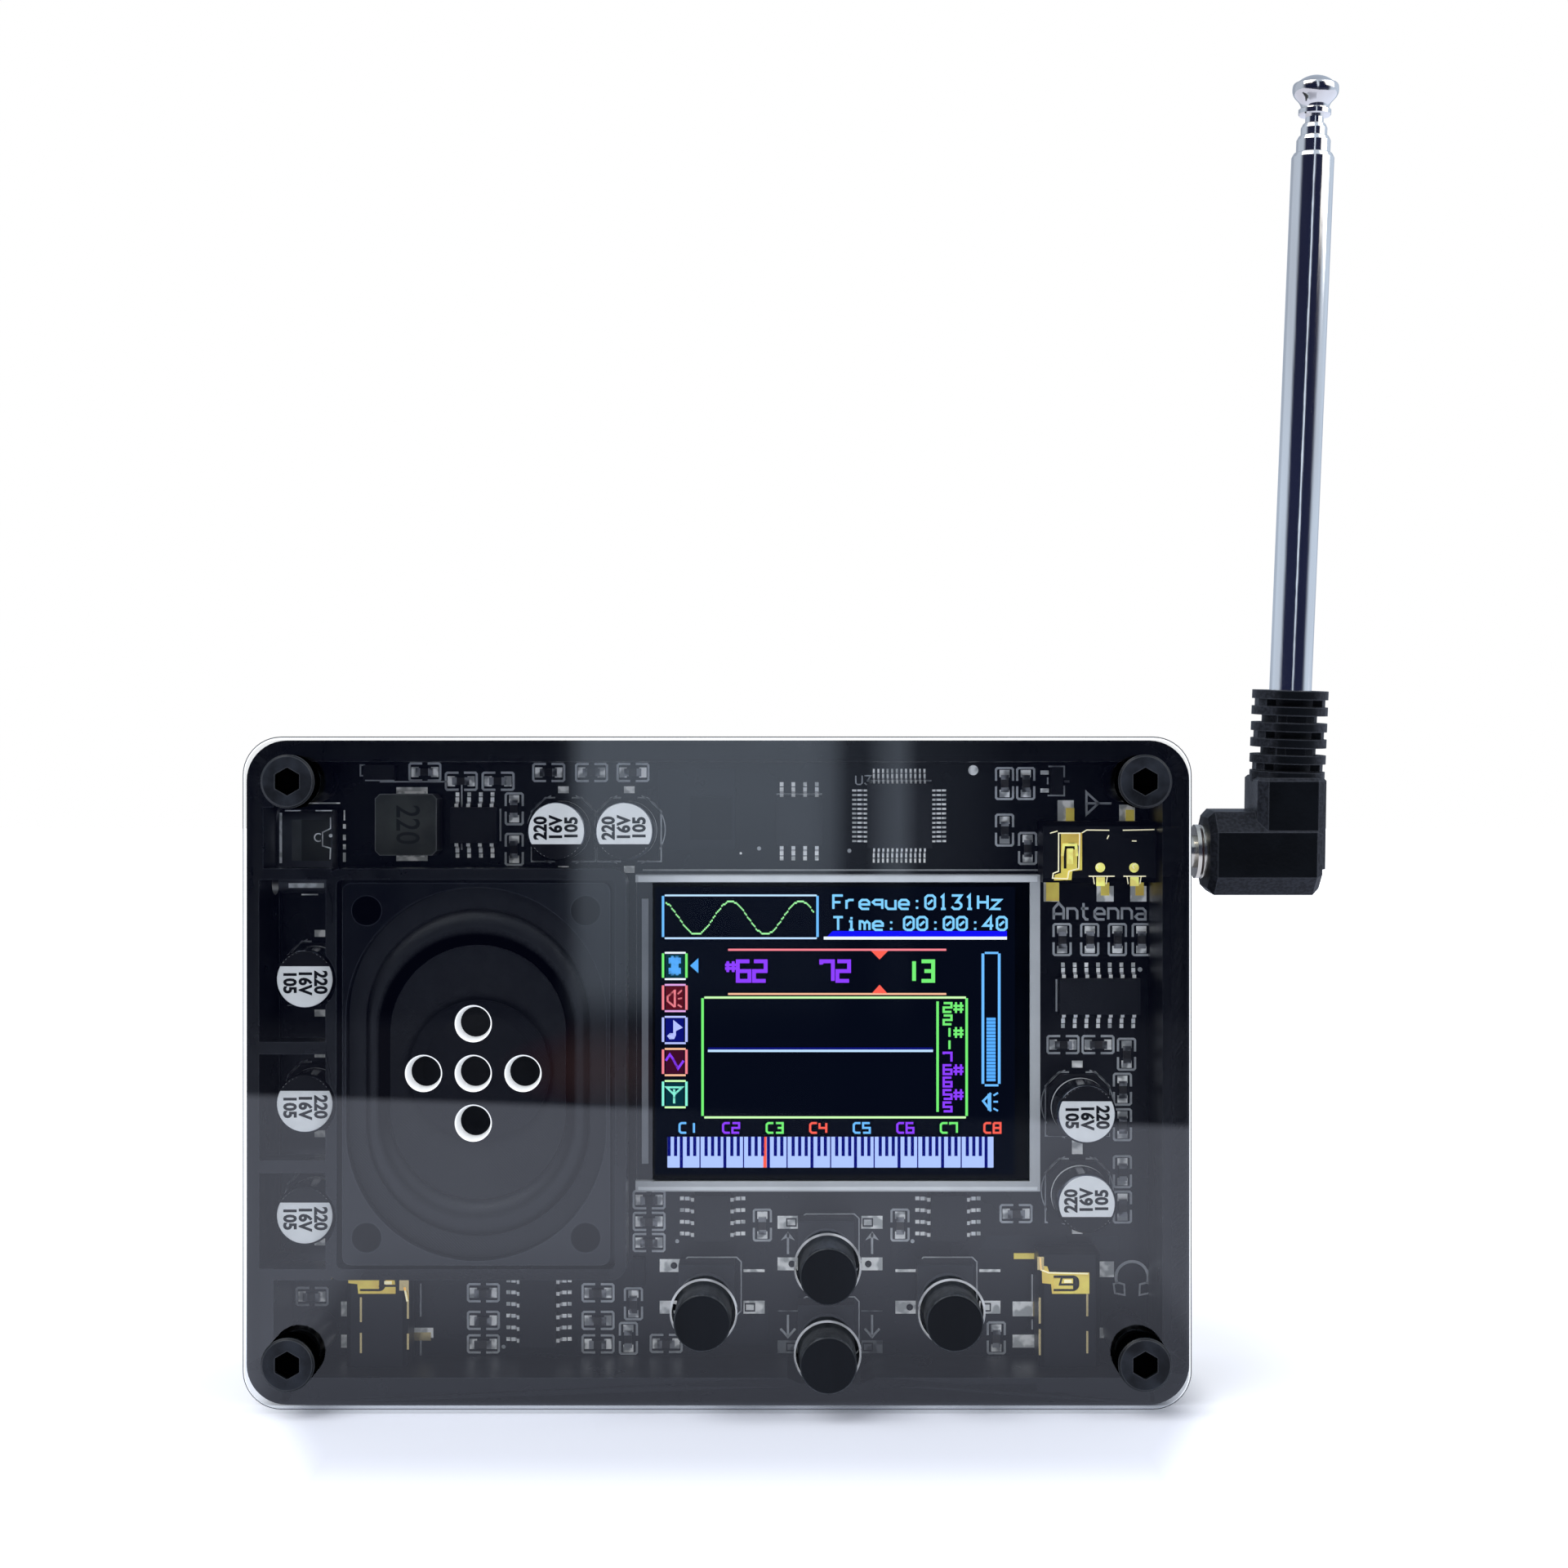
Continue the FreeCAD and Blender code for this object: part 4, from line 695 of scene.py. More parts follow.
class THEREMIN_OT_panel(bpy.types.Operator):
    """Clear acrylic with frosted cut edges that have a painted glow, painted shade on the outer bevel and at
    the foot, painted highlights round the button holes, and a coated window over the display
    """

    bl_idname = "theremin.panel"
    bl_label = "Front Panel"

    def execute(self, context):
        values = settings().panel
        material = bpy.data.materials.new("clear_acrylic")
        tree = clear_tree(material)
        place = axes_of(tree, coordinates(tree))
        window_x = between(tree, place["X"], GLASS_LOW.x + 2.3 * MM, GLASS_HIGH.x - 1.0 * MM)
        window_z = between(tree, place["Z"], GLASS_LOW.z + 1.5 * MM, GLASS_HIGH.z + 0.5 * MM)
        inside = product(tree, window_x, window_z)
        share = ramp(tree, inside, 0.0, 1.0, 1.0, values.window_share)
        mirror = add(tree, "ShaderNodeFresnel", {"IOR": values.ior}).outputs[0]
        outer = maths(tree, "SUBTRACT", 1.0, add(tree, "ShaderNodeNewGeometry").outputs["Backfacing"])
        gloss = maths(tree, "MINIMUM", product(tree, mirror, 2.0, outer, share), 1.0)
        clear = add(tree, "ShaderNodeBsdfTransparent", {"Color": (0.96, 0.97, 0.975, 1.0)})
        shine = add(tree, "ShaderNodeBsdfGlossy", {"Color": (1, 1, 1, 1), "Roughness": 0.0})
        pane = add(tree, "ShaderNodeMixShader", {0: gloss, 1: clear.outputs[0], 2: shine.outputs[0]})
        grain = add(tree, "ShaderNodeTexNoise", {"Vector": coordinates(tree), "Scale": 2600.0})
        dark, light = shades(values.edge_colour, 0.05)
        # Frosted cut edges, with a painted glow from their emission.
        frosted_glow = add(tree, "ShaderNodeBsdfPrincipled",
                      {"Base Color": blend_colours(tree, grain.outputs[0], dark, light), "Roughness": 0.35,
                       "Emission Color": values.edge_colour, "Emission Strength": 0.2})
        # Painted shade: the frosted, glowing edges fade out towards the panel's foot.
        lit = product(tree, self.cut_edges(tree, place), ramp(tree, place["Z"], 0.6 * MM, 2.2 * MM))
        whole = add(tree, "ShaderNodeMixShader", {0: lit, 1: pane.outputs[0], 2: frosted_glow.outputs[0]})
        # Painted shade: a dark grey diffuse line on the bevel deeper than bright_bevel.
        rim = add(tree, "ShaderNodeBsdfDiffuse", {"Color": (0.09, 0.095, 0.105, 1)})
        outermost = maths(tree, "GREATER_THAN", place["Y"], PANEL_FRONT + values.bright_bevel)
        bevel = product(tree, outermost, between(tree, facing(tree), *BEVEL_FACING))
        whole = add(tree, "ShaderNodeMixShader", {0: bevel, 1: whole.outputs[0], 2: rim.outputs[0]})
        end_material(tree, whole)
        dress("front_panel", material)
        self.button_rim_highlights()
        return {"FINISHED"}

    def button_rim_highlights(self):
        """Painted highlights on the cut rims of the button holes, widest at their tops."""
        radius, wide, thin = 3.42 * MM, 0.24 * MM, 0.13 * MM
        drawing = Drawing(PANEL_FRONT, 0.01 * MM)
        for name in ("up_button", "down_button", "left_button", "right_button"):
            low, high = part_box(name)
            x, z = (low.x + high.x) / 2, (low.z + high.z) / 2
            # Painted highlight: a wide arc over the top of each hole and a thin one round the rest.
            drawing.line(arc(x, z, radius, 10, 170, 32), wide)
            drawing.line(arc(x, z, radius, 170, 370, 40), thin)
        rim = surface("rim_highlight_grey", (0.5, 0.52, 0.55), 0.4, grain=4000, depth=0.1, mottle=0.5)
        drawing.piece("button_hole_highlights", "case", "clear_acrylic", [rim])

    def cut_edges(self, tree, place):
        """Frosted share, which also carries the edges' painted glow: the bevels, and the walls of the sound
        holes.
        """
        flat = facing(tree)
        slanted = maths(tree, "LESS_THAN", flat, BEVEL_FACING[1])
        low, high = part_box("speaker_dust_cap")
        countersink = maths(tree, "LESS_THAN", place["Y"], PANEL_FRONT + 1.95 * MM)
        wall = product(tree, slanted, between(tree, place["X"], low.x, high.x),
                       between(tree, place["Z"], low.z, high.z), countersink)
        return maths(tree, "MAXIMUM", between(tree, flat, *BEVEL_FACING), wall)


class THEREMIN_OT_case(bpy.types.Operator):
    """Moulded frame, back cover, black screws and brass inserts"""

    bl_idname = "theremin.case"
    bl_label = "Case"

    def execute(self, context):
        # Painted highlights along the sharp edges of the frame and the cover.
        dress("mid_frame", surface("case_black", (0.0004, 0.0006, 0.001), 0.3, grain=3500, depth=0.03,
                                   mottle=0.2, edge=0.12 * MM, edge_highlight=(0.03, 0.034, 0.042)))
        dress("back_cover", surface("cover_black", (0.002, 0.0024, 0.003), 0.4, grain=3000, depth=0.3,
                                    mottle=0.2, edge=0.15 * MM, edge_highlight=(0.02, 0.022, 0.026)))
        # Painted light and shade on the screws: highlights along their edges and darker sideways faces.
        oxide = surface("screw_oxide", (0.012, 0.0145, 0.02), 0.36, grain=5000, depth=0.25, mottle=0.6,
                        specular=0.25, edge=0.16 * MM, edge_highlight=(0.055, 0.06, 0.07), side=(0.002, 0.003, 0.004))
        # Painted shade: the hex sockets, over half a millimetre behind the heads' fronts, are dimmed and lose
        # their shine.
        tree = oxide.node_tree
        front = min(low.y for low, high in solids("cover_screws"))
        paint_shade(oxide, maths(tree, "GREATER_THAN", axes_of(tree, coordinates(tree))["Y"], front + 0.5 * MM))
        dress("cover_screws", oxide)
        dress("thread_inserts", surface("insert_brass", (0.6, 0.42, 0.16), 0.3, metallic=1.0))
        return {"FINISHED"}


# ---------------------------------------------------------------- board


def print_part_outline(drawing, low, high):
    """Two brackets round a small part, open at the middle of its long sides."""
    board = settings().board
    middle = (low + high) / 2
    lying = high.x - low.x > high.z - low.z
    length, width = board.outline_length / 2, board.outline_width / 2
    gap, cut = 0.3 * MM, 0.15 * MM
    for sign in (-1, 1):
        near, far, end = sign * gap, sign * (length - cut), sign * length
        shape = [(near, width), (far, width), (end, width - cut), (end, -width + cut), (far, -width),
                 (near, -width)]
        points = [(middle.x + a, middle.z + b) if lying else (middle.x + b, middle.z + a) for a, b in shape]
        drawing.line(points, board.line_width)


def print_capacitor_outline(drawing, low, high):
    """Square outline, cut at its two upper corners and open at the pads, inside a thin circle."""
    middle = (low + high) / 2
    half, cut, gap = 3.46 * MM, 1.5 * MM, 0.9 * MM
    width = settings().board.line_width
    for sign in (-1, 1):
        points = [(sign * gap, half), (sign * (half - cut), half), (sign * half, half - cut),
                  (sign * half, -half), (sign * gap, -half)]
        drawing.line([(middle.x + a, middle.z + b) for a, b in points], width * 0.7)
        start = 90 + sign * 20
        drawing.line(arc(middle.x, middle.z, 3.9 * MM, start, start + sign * 140, 28), width * 0.5)


def outside(point, low, high):
    """Distance in X and Z from a point to a box."""
    across = max(low.x - point.x, 0.0, point.x - high.x)
    return math.hypot(across, max(low.z - point.z, 0.0, point.z - high.z))


def chip_bodies():
    """Packages with rows of legs, the large ones of the board."""
    return [(low, high) for low, high in solids("chip_packages")
            if min(high.x - low.x, high.z - low.z) > 3.5 * MM]


class THEREMIN_OT_board(bpy.types.Operator):
    """Lacquered board with copper areas, printed outlines, symbols and plated pads"""

    bl_idname = "theremin.board"
    bl_label = "Board and Printing"

    def execute(self, context):
        values = settings().board
        dress("main_board", surface("board_lacquer", values.mask_colour, 0.25, grain=2600, depth=0.08,
                                    mottle=0.2, specular=0.3))
        printed = surface("board_print", values.print_colour, 0.6, grain=9000, depth=0.1, mottle=0.12)
        drawing = Drawing(BOARD_FRONT, 0.02 * MM)
        for low, high in solids("chip_parts"):
            print_part_outline(drawing, low, high)
        for low, high in solids("capacitor_bases"):
            print_capacitor_outline(drawing, low, high)
        self.print_chips(drawing)
        self.print_symbols(drawing)
        drawing.piece("board_outlines", "case", "display_white", [printed])
        self.pads()
        self.copper_areas()
        return {"FINISHED"}

    def print_chips(self, drawing):
        """A line along one side of each chip and a dot at its first leg."""
        width = settings().board.line_width
        for low, high in chip_bodies():
            if high.x - low.x < 1.1 * (high.z - low.z):
                drawing.line([(low.x, high.z + 0.3 * MM), (high.x, high.z + 0.3 * MM)], width * 0.7)
                drawing.disc(low.x - 1.9 * MM, low.z - 0.3 * MM, 0.22 * MM)
                continue
            edge = low.x - 0.15 * MM if low.x > 30 * MM else high.x + 0.3 * MM
            drawing.line([(edge, low.z + 0.2 * MM), (edge, high.z - 0.2 * MM)], width * 0.8)
            spot = (low.x - 0.1 * MM, low.z - 0.2 * MM)
            if low.x > 30 * MM:
                spot = (high.x + 0.2 * MM, high.z + 0.85 * MM)
            if low.x > 0:
                drawing.disc(*spot, 0.25 * MM)
        low, high = max(chip_bodies(), key=lambda pair: pair[1].z - pair[0].z if pair[0].z > 50 * MM else 0)
        letters(drawing, "U3", lambda a, b: (low.x - 1.2 * MM + a, high.z - 0.1 * MM + b), 0.95 * MM,
                0.95 * MM, width * 0.6)

    def print_symbols(self, drawing):
        """Antenna, headphones, arrows, the socket's name and the outlines of the sockets."""
        width = settings().board.line_width
        outline = width * 0.7
        low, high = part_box("antenna_jack")
        x, z = low.x + 5.3 * MM, high.z + 1.9 * MM
        drawing.line([(x, z - 1.2 * MM), (x, z + 1.2 * MM), (x + 1.3 * MM, z)], width, closed=True)
        drawing.line([(x, z), (x + 2.7 * MM, z)], width)
        name_x, name_z = low.x + 1.75 * MM, low.z - 4.2 * MM
        letters(drawing, "Antenna", lambda a, b: (name_x + a, name_z + b), 1.48 * MM, 1.77 * MM, width * 1.1)
        corner_x, corner_z = low.x + 0.5 * MM, high.z - 0.1 * MM
        drawing.line([(corner_x + 4.0 * MM, corner_z), (corner_x, corner_z), (corner_x, low.z)], outline)
        level = high.z - 1.05 * MM
        for start, end in ((4.9, 8.2), (9.6, 13.2)):
            drawing.line([(low.x + start * MM, level), (low.x + end * MM, level)], outline)
        self.headphones(drawing)
        corner = Vector((-38.6 * MM, 0, 65.3 * MM))
        low, high = min(solids("chip_packages"), key=lambda pair: (pair[0] - corner).length)
        side, base = low.x - 0.5 * MM, low.z - 0.05 * MM
        drawing.line([(side + 0.5 * MM, high.z), (side, high.z), (side, high.z - 1.15 * MM),
                      (side + 0.5 * MM, high.z - 1.15 * MM)], outline)
        drawing.line([(low.x, base), (high.x - 0.2 * MM, base)], outline)
        for edge, base, top in ((33.85, 7.9, 11.6), (33.85, 5.6, 6.7), (-32.55, 7.0, 10.6),
                                (-32.55, 2.6, 4.4)):
            drawing.line(millimetres([(edge, base), (edge, top)]), outline)
        drawing.line(millimetres([(35.62, 66.76), (37.33, 66.76), (37.33, 65.57)]), outline)
        drawing.line(millimetres([(35.54, 63.6), (37.33, 63.6), (37.33, 64.67)]), outline)
        drawing.line(millimetres([(35.54, 65.57), (35.54, 64.82)]), outline)
        low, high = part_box("power_inductor")
        drawing.line([(low.x - 0.2 * MM, high.z + 1.3 * MM), (high.x + 2.1 * MM, high.z + 1.3 * MM),
                      (high.x + 2.1 * MM, low.z + 0.5 * MM)], outline)
        self.print_buttons(drawing)
        low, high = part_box("display_frame")
        drawing.line([(low.x + 0.6 * MM, high.z + 0.4 * MM), (high.x + 0.4 * MM, high.z + 0.4 * MM)], outline)
        low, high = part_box("speaker_plate")
        foot_x, foot_z = high.x - 2.95 * MM, low.z + 2.9 * MM
        drawing.line([(foot_x, foot_z + 2.0 * MM), (foot_x, foot_z), (foot_x + 1.8 * MM, foot_z)], outline)

    def headphones(self, drawing):
        """Headphone symbol beside its socket: a band and two cups."""
        width = settings().board.line_width
        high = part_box("headphone_jack")[1]
        x, z, radius = high.x + 4.15 * MM, high.z - 3.55 * MM, 1.75 * MM
        drawing.line(arc(x, z, radius, -20, 200, 18), width * 1.3)
        for side in (-1, 1):
            cup = x + side * 1.55 * MM
            drawing.line([(cup, z - 0.55 * MM), (cup - side * 0.7 * MM, z - 0.75 * MM),
                          (cup - side * 0.75 * MM, z - 1.9 * MM), (cup + side * 0.3 * MM, z - 1.7 * MM),
                          (cup + side * 0.45 * MM, z - 0.7 * MM)], width * 0.8, closed=True)

    def print_buttons(self, drawing):
        """Rounded squares round the switches, and arrows beside the upper and the lower one."""
        width = settings().board.line_width
        for low, high in solids("switch_bases"):
            x, z = (low.x + high.x) / 2 + SWITCH_SHIFT, (low.z + high.z) / 2
            half, cut = 3.15 * MM, 0.5 * MM
            drawing.line([(x - half + cut, z + half), (x + half - cut, z + half), (x + half, z + half - cut),
                          (x + half, z - half + cut), (x + half - cut, z - half), (x - half + cut, z - half),
                          (x - half, z - half + cut), (x - half, z + half - cut)], width * 0.6, closed=True)
        for node, sign in (("up_button", 1), ("down_button", -1)):
            low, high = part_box(node)
            for side in (-1, 1):
                x, z = (low.x + high.x) / 2 + SWITCH_SHIFT + side * 4.57 * MM, (low.z + high.z) / 2
                drawing.line([(x, z - sign * 1.2 * MM), (x, z + sign * 1.1 * MM)], width)
                if sign > 0:
                    drawing.prism(millimetres([(-0.75, 0.3), (0, 0.6), (0.75, 0.3), (0, 1.25)], x, z))
                    continue
                drawing.line([(x - 0.8 * MM, z + sign * 0.3 * MM), (x, z + sign * 1.2 * MM),
                              (x + 0.8 * MM, z + sign * 0.3 * MM)], width)

    def pads(self):
        """Tinned pads under legs, terminals and switches, and small plated holes."""
        tin = facing_shaded("pad_tin", (0.8, 0.83, 0.84), (0.3, 0.3, 0.32), roughness=0.45, patch=0.4)
        # Painted glow on the tinned pads.
        paint_glow(tin, 0.1)
        dull = facing_shaded("pad_dull", (0.14, 0.15, 0.16), (0.1, 0.1, 0.11), roughness=0.45, patch=0.5)
        dark = surface("pad_gap", (0.004, 0.005, 0.007), 0.5, grain=4000, specular=0.2)
        drawing = Drawing(BOARD_FRONT, 0.04 * MM)
        self.leg_pads(drawing)
        drawing.boxes([(36.6, 59.97, 38.37, 63.08), (43.3, 60.3, 45.0, 62.6), (40.85, 52.08, 42.7, 53.77),
                       (44.5, 52.08, 46.26, 53.77), (35.09, 52.08, 36.78, 54.3)])
        drawing.box(47.1 * MM, 52.17 * MM, 47.5 * MM, 54.65 * MM)
        for low, high in solids("capacitor_bases"):
            middle = (low + high) / 2
            for sign in (-1, 1):
                ends = sorted((middle.z + sign * 3.95 * MM, middle.z + sign * 4.7 * MM))
                drawing.box(middle.x - 0.58 * MM, ends[0], middle.x + 0.58 * MM, ends[1])
        low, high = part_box("power_inductor")
        middle = (low + high) / 2
        for sign in (-1, 1):
            drawing.box(middle.x - 1.7 * MM, middle.z + sign * 2.5 * MM, middle.x + 1.7 * MM,
                        middle.z + sign * 4.0 * MM)
        terminals = Drawing(BOARD_FRONT - 0.04 * MM, 0.04 * MM)
        self.switch_pads(drawing, terminals)
        for x, z in ((35.2, 66.1), (35.2, 64.15)):
            drawing.box((x - 0.45) * MM, (z - 0.22) * MM, (x + 0.45) * MM, (z + 0.22) * MM)
        drawing.box(37.3 * MM, 65.0 * MM, 37.9 * MM, 65.25 * MM, 1)
        drawing.disc(27.45 * MM, 66.35 * MM, 0.55 * MM)
        drawing.box(-3.3 * MM, 58.8 * MM, 1.25 * MM, 63.4 * MM, 2)
        self.vias(drawing)
        drawing.piece("board_pads", "case", "leg_tin", [tin, dull, dark])
        terminals.piece("switch_terminals", "case", "leg_tin", [tin, dull, dark])
        self.soldered_tabs()

    def switch_pads(self, drawing, terminals):
        """Pads at the corners of each switch, some half hidden, with the bent ends of its terminals."""
        kinds = {"up_button": "full full open open", "left_button": "open thin open full",
                 "right_button": "thin thin open full", "down_button": "faint faint dull dull"}
        half_height, inner, outer = 0.7 * MM, 3.4 * MM, 5.7 * MM
        for node, words in kinds.items():
            low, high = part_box(node)
            x, z = (low.x + high.x) / 2 + SWITCH_SHIFT, (low.z + high.z) / 2
            for index, kind in enumerate(words.split()):
                side, level = (-1, 1)[index % 2], z + (2.26, -2.26)[index // 2] * MM
                near, far = sorted((x + side * inner, x + side * outer))
                foot = level - half_height
                if kind in ("thin", "faint"):
                    tall, slot = (0.3 * MM, 0) if kind == "thin" else (0.14 * MM, 1)
                    drawing.box(near, foot, far, foot + tall, slot)
                    continue
                drawing.box(near, foot, far, level + half_height, 1 if kind == "dull" else 0)
                spot = x + side * 4.15 * MM
                if kind == "open":
                    terminals.disc(spot, level, 0.36 * MM, 2)
                    terminals.disc(spot + side * 0.05 * MM, level - 0.05 * MM, 0.2 * MM, 1)
                    continue
                terminals.frame(spot - 0.55 * MM, level - 0.4 * MM, spot + 0.45 * MM, level + 0.38 * MM,
                                0.14 * MM, 2)
                terminals.box(spot - 0.35 * MM, level - 0.25 * MM, spot + 0.3 * MM, level + 0.25 * MM,
                              1 if kind == "dull" else 0)

    def soldered_tabs(self):
        """Solder that covers the outer tabs of the two lower sockets."""
        drawing = Drawing(BOARD_FRONT, 0.26 * MM)
        for node in ("headphone_jack_contacts", "line_jack_contacts"):
            body_low, body_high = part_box(node.replace("_contacts", ""))
            for low, high in solids(node):
                if high.y > BOARD_FRONT - 0.05 * MM and high.z - low.z > 0.7 * MM:
                    outer = max(body_low.x - low.x, high.x - body_high.x)
                    side = 0.15 * MM if outer > 0.5 * MM else 0.0
                    drawing.box(low.x - side, low.z - 0.05 * MM, high.x + side, high.z + 0.05 * MM)
        drawing.piece("tab_solder", "case", "leg_tin", [bpy.data.materials["pad_tin"]])

    def leg_pads(self, drawing):
        """Solder on a pad just beyond the foot of every chip leg."""
        bodies = solids("chip_packages")
        for low, high in solids("chip_legs"):
            middle = (low + high) / 2
            body = min(bodies, key=lambda pair: outside(middle, *pair))
            upright = middle.z > body[1].z or middle.z < body[0].z
            start, reach = 0.62 * MM, 0.45 * MM
            if upright:
                sign = 1 if middle.z > body[1].z else -1
                ends = sorted((middle.z + sign * start, middle.z + sign * (start + reach)))
                drawing.box(low.x, ends[0], high.x, ends[1])
            else:
                sign = 1 if middle.x > body[1].x else -1
                ends = sorted((middle.x + sign * start, middle.x + sign * (start + reach)))
                drawing.box(ends[0], low.z, ends[1], high.z)

    def vias(self, drawing):
        """Small plated holes scattered over the free board, the same way each time."""
        values = settings().board
        chance = random.Random(values.via_seed)
        low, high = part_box("main_board")
        nodes = ("chip_packages", "capacitor_bases", "chip_parts", "switch_bases", "display_frame",
                 "antenna_jack", "headphone_jack", "line_jack", "speaker_plate", "power_inductor")
        taken = [solid for node in nodes for solid in solids(node)]
        side_margin, end_margin, gap, radius = 4 * MM, 3 * MM, 1.2 * MM, 0.14 * MM
        for _ in range(values.via_count):
            x = chance.uniform(low.x + side_margin, high.x - side_margin)
            z = chance.uniform(low.z + end_margin, high.z - end_margin)
            free = all(x < a.x - gap or x > b.x + gap or z < a.z - gap or z > b.z + gap for a, b in taken)
            if free:
                drawing.disc(x, z, radius, steps=10)

    def copper_areas(self):
        """Slightly raised copper areas under the lacquer."""
        copper = surface("lacquer_over_copper", tuple(c * 4.0 for c in settings().board.mask_colour[:3]), 0.3,
                         grain=2600, depth=0.08, mottle=0.15, specular=0.35)
        drawing = Drawing(BOARD_FRONT, 0.008 * MM)
        low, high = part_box("main_board")
        frame_low, frame_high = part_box("display_frame")
        right = high.x - 4.4 * MM
        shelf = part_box("headphone_jack")[1].z
        under, over, step = shelf - 0.6 * MM, shelf + 1.0 * MM, shelf + 0.2 * MM
        drawing.prism([(28 * MM, under), (right, under), (right, over), (40.4 * MM, over), (40.4 * MM, step),
                       (37.6 * MM, step), (37.6 * MM, over), (29 * MM, over)])
        under, over = low.z + 2.4 * MM, low.z + 4.2 * MM
        drawing.prism([(frame_low.x + 2 * MM, under), (5.2 * MM, under), (5.2 * MM, low.z + 6.6 * MM),
                       (2.4 * MM, over), (-4.0 * MM, over)])
        top, base = high.z - 1.4 * MM, frame_high.z + 2.6 * MM
        drawing.box(-6.8 * MM, base, -3.3 * MM, top)
        drawing.box(-3.3 * MM, base, 1.14 * MM, base + 1.1 * MM)
        drawing.box(-3.3 * MM, base + 5.8 * MM, 1.14 * MM, top)
        drawing.box(1.14 * MM, base, 1.6 * MM, top)
        drawing.piece("board_copper", "case", "board_black", [copper])


class THEREMIN_OT_parts(bpy.types.Operator):
    """Chips, their legs, the small parts with tinned ends, and the inductor"""

    bl_idname = "theremin.parts"
    bl_label = "Chips and Small Parts"

    def execute(self, context):
        dress("chip_packages", surface("chip_epoxy", (0.008, 0.009, 0.012), 0.55, grain=5000, depth=0.3,
                                       mottle=0.2, specular=0.3))
        # Painted light and shade on the legs, pale to the front and dark on the sides, with a painted glow.
        legs = facing_shaded("leg_tin", (0.95, 0.97, 1.0), (0.35, 0.35, 0.37), patch=0.1)
        dress("chip_legs", paint_glow(legs, 0.08))
        dress("chip_parts", surface("part_body", (0.03, 0.028, 0.028), 0.5, grain=4000, depth=0.3, mottle=0.6,
                                    specular=0.3))
        # Painted highlights along the inductor's edges.
        dress("power_inductor", surface("inductor_body", (0.034, 0.037, 0.034), 0.6, grain=3500, depth=0.4,
                                        mottle=0.3, specular=0.2, edge=0.2 * MM, edge_highlight=(0.16, 0.165, 0.17)))
        # Painted light and shade: the tinned ends are dark on their front faces and pale on their sides.
        ends = facing_shaded("end_tin", (0.16, 0.165, 0.18), (0.5, 0.5, 0.52), roughness=0.3, patch=0.8)
        solder = facing_shaded("part_solder", (0.72, 0.75, 0.78), (0.4, 0.4, 0.42), roughness=0.35, patch=0.6)
        # Painted glow on the solder under the small parts.
        paint_glow(solder, 0.09)
        spots, turns = [], []
        for low, high in solids("chip_parts"):
            spots.append((low + high) / 2)
            turns.append(0.0 if high.x - low.x > high.z - low.z else math.pi / 2)
        low, high = solids("chip_parts")[0]
        tall = high.y - low.y
        width, length = sorted((high.x - low.x, high.z - low.z))
        blocks = end_blocks_tree()
        grow("part_ends", blocks, spots, {"Spread": length - 0.25 * MM, "Length": 0.5 * MM,
                                          "Width": width + 0.06 * MM, "Height": tall + 0.04 * MM},
             ends, "case", turns)
        pads = [Vector((p.x, BOARD_FRONT - 0.03 * MM, p.z)) for p in spots]
        grow("part_pads", blocks, pads, {"Spread": length + 0.55 * MM, "Length": 0.8 * MM, "Width": 1.1 * MM,
                                         "Height": 0.06 * MM}, solder, "case", turns)
        self.inductor_marks()
        return {"FINISHED"}

    def inductor_marks(self):
        """Faint value moulded into the inductor's face, and its bent terminals."""
        low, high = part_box("power_inductor")
        middle = (low + high) / 2
        faint = surface("inductor_ink", (0.012, 0.013, 0.012), 0.5, grain=4000, depth=0.2, specular=0.2)
        drawing = Drawing(low.y, 0.01 * MM)
        drawing.words("220", middle.x + 0.1 * MM, middle.z, 2.6 * MM, turn=-math.pi / 2, weight=0.01)
        drawing.piece("inductor_value", "case", "inductor_grey", [faint])
        tin = bpy.data.materials["part_solder"]
        terminals = Drawing(BOARD_FRONT - 0.04 * MM, 0.9 * MM)
        for sign in (-1, 1):
            ends = sorted((middle.z + sign * 3.3 * MM, middle.z + sign * 3.55 * MM))
            terminals.box(middle.x - 1.5 * MM, ends[0], middle.x + 1.5 * MM, ends[1])
        terminals.piece("inductor_terminals", "case", "leg_tin", [tin])


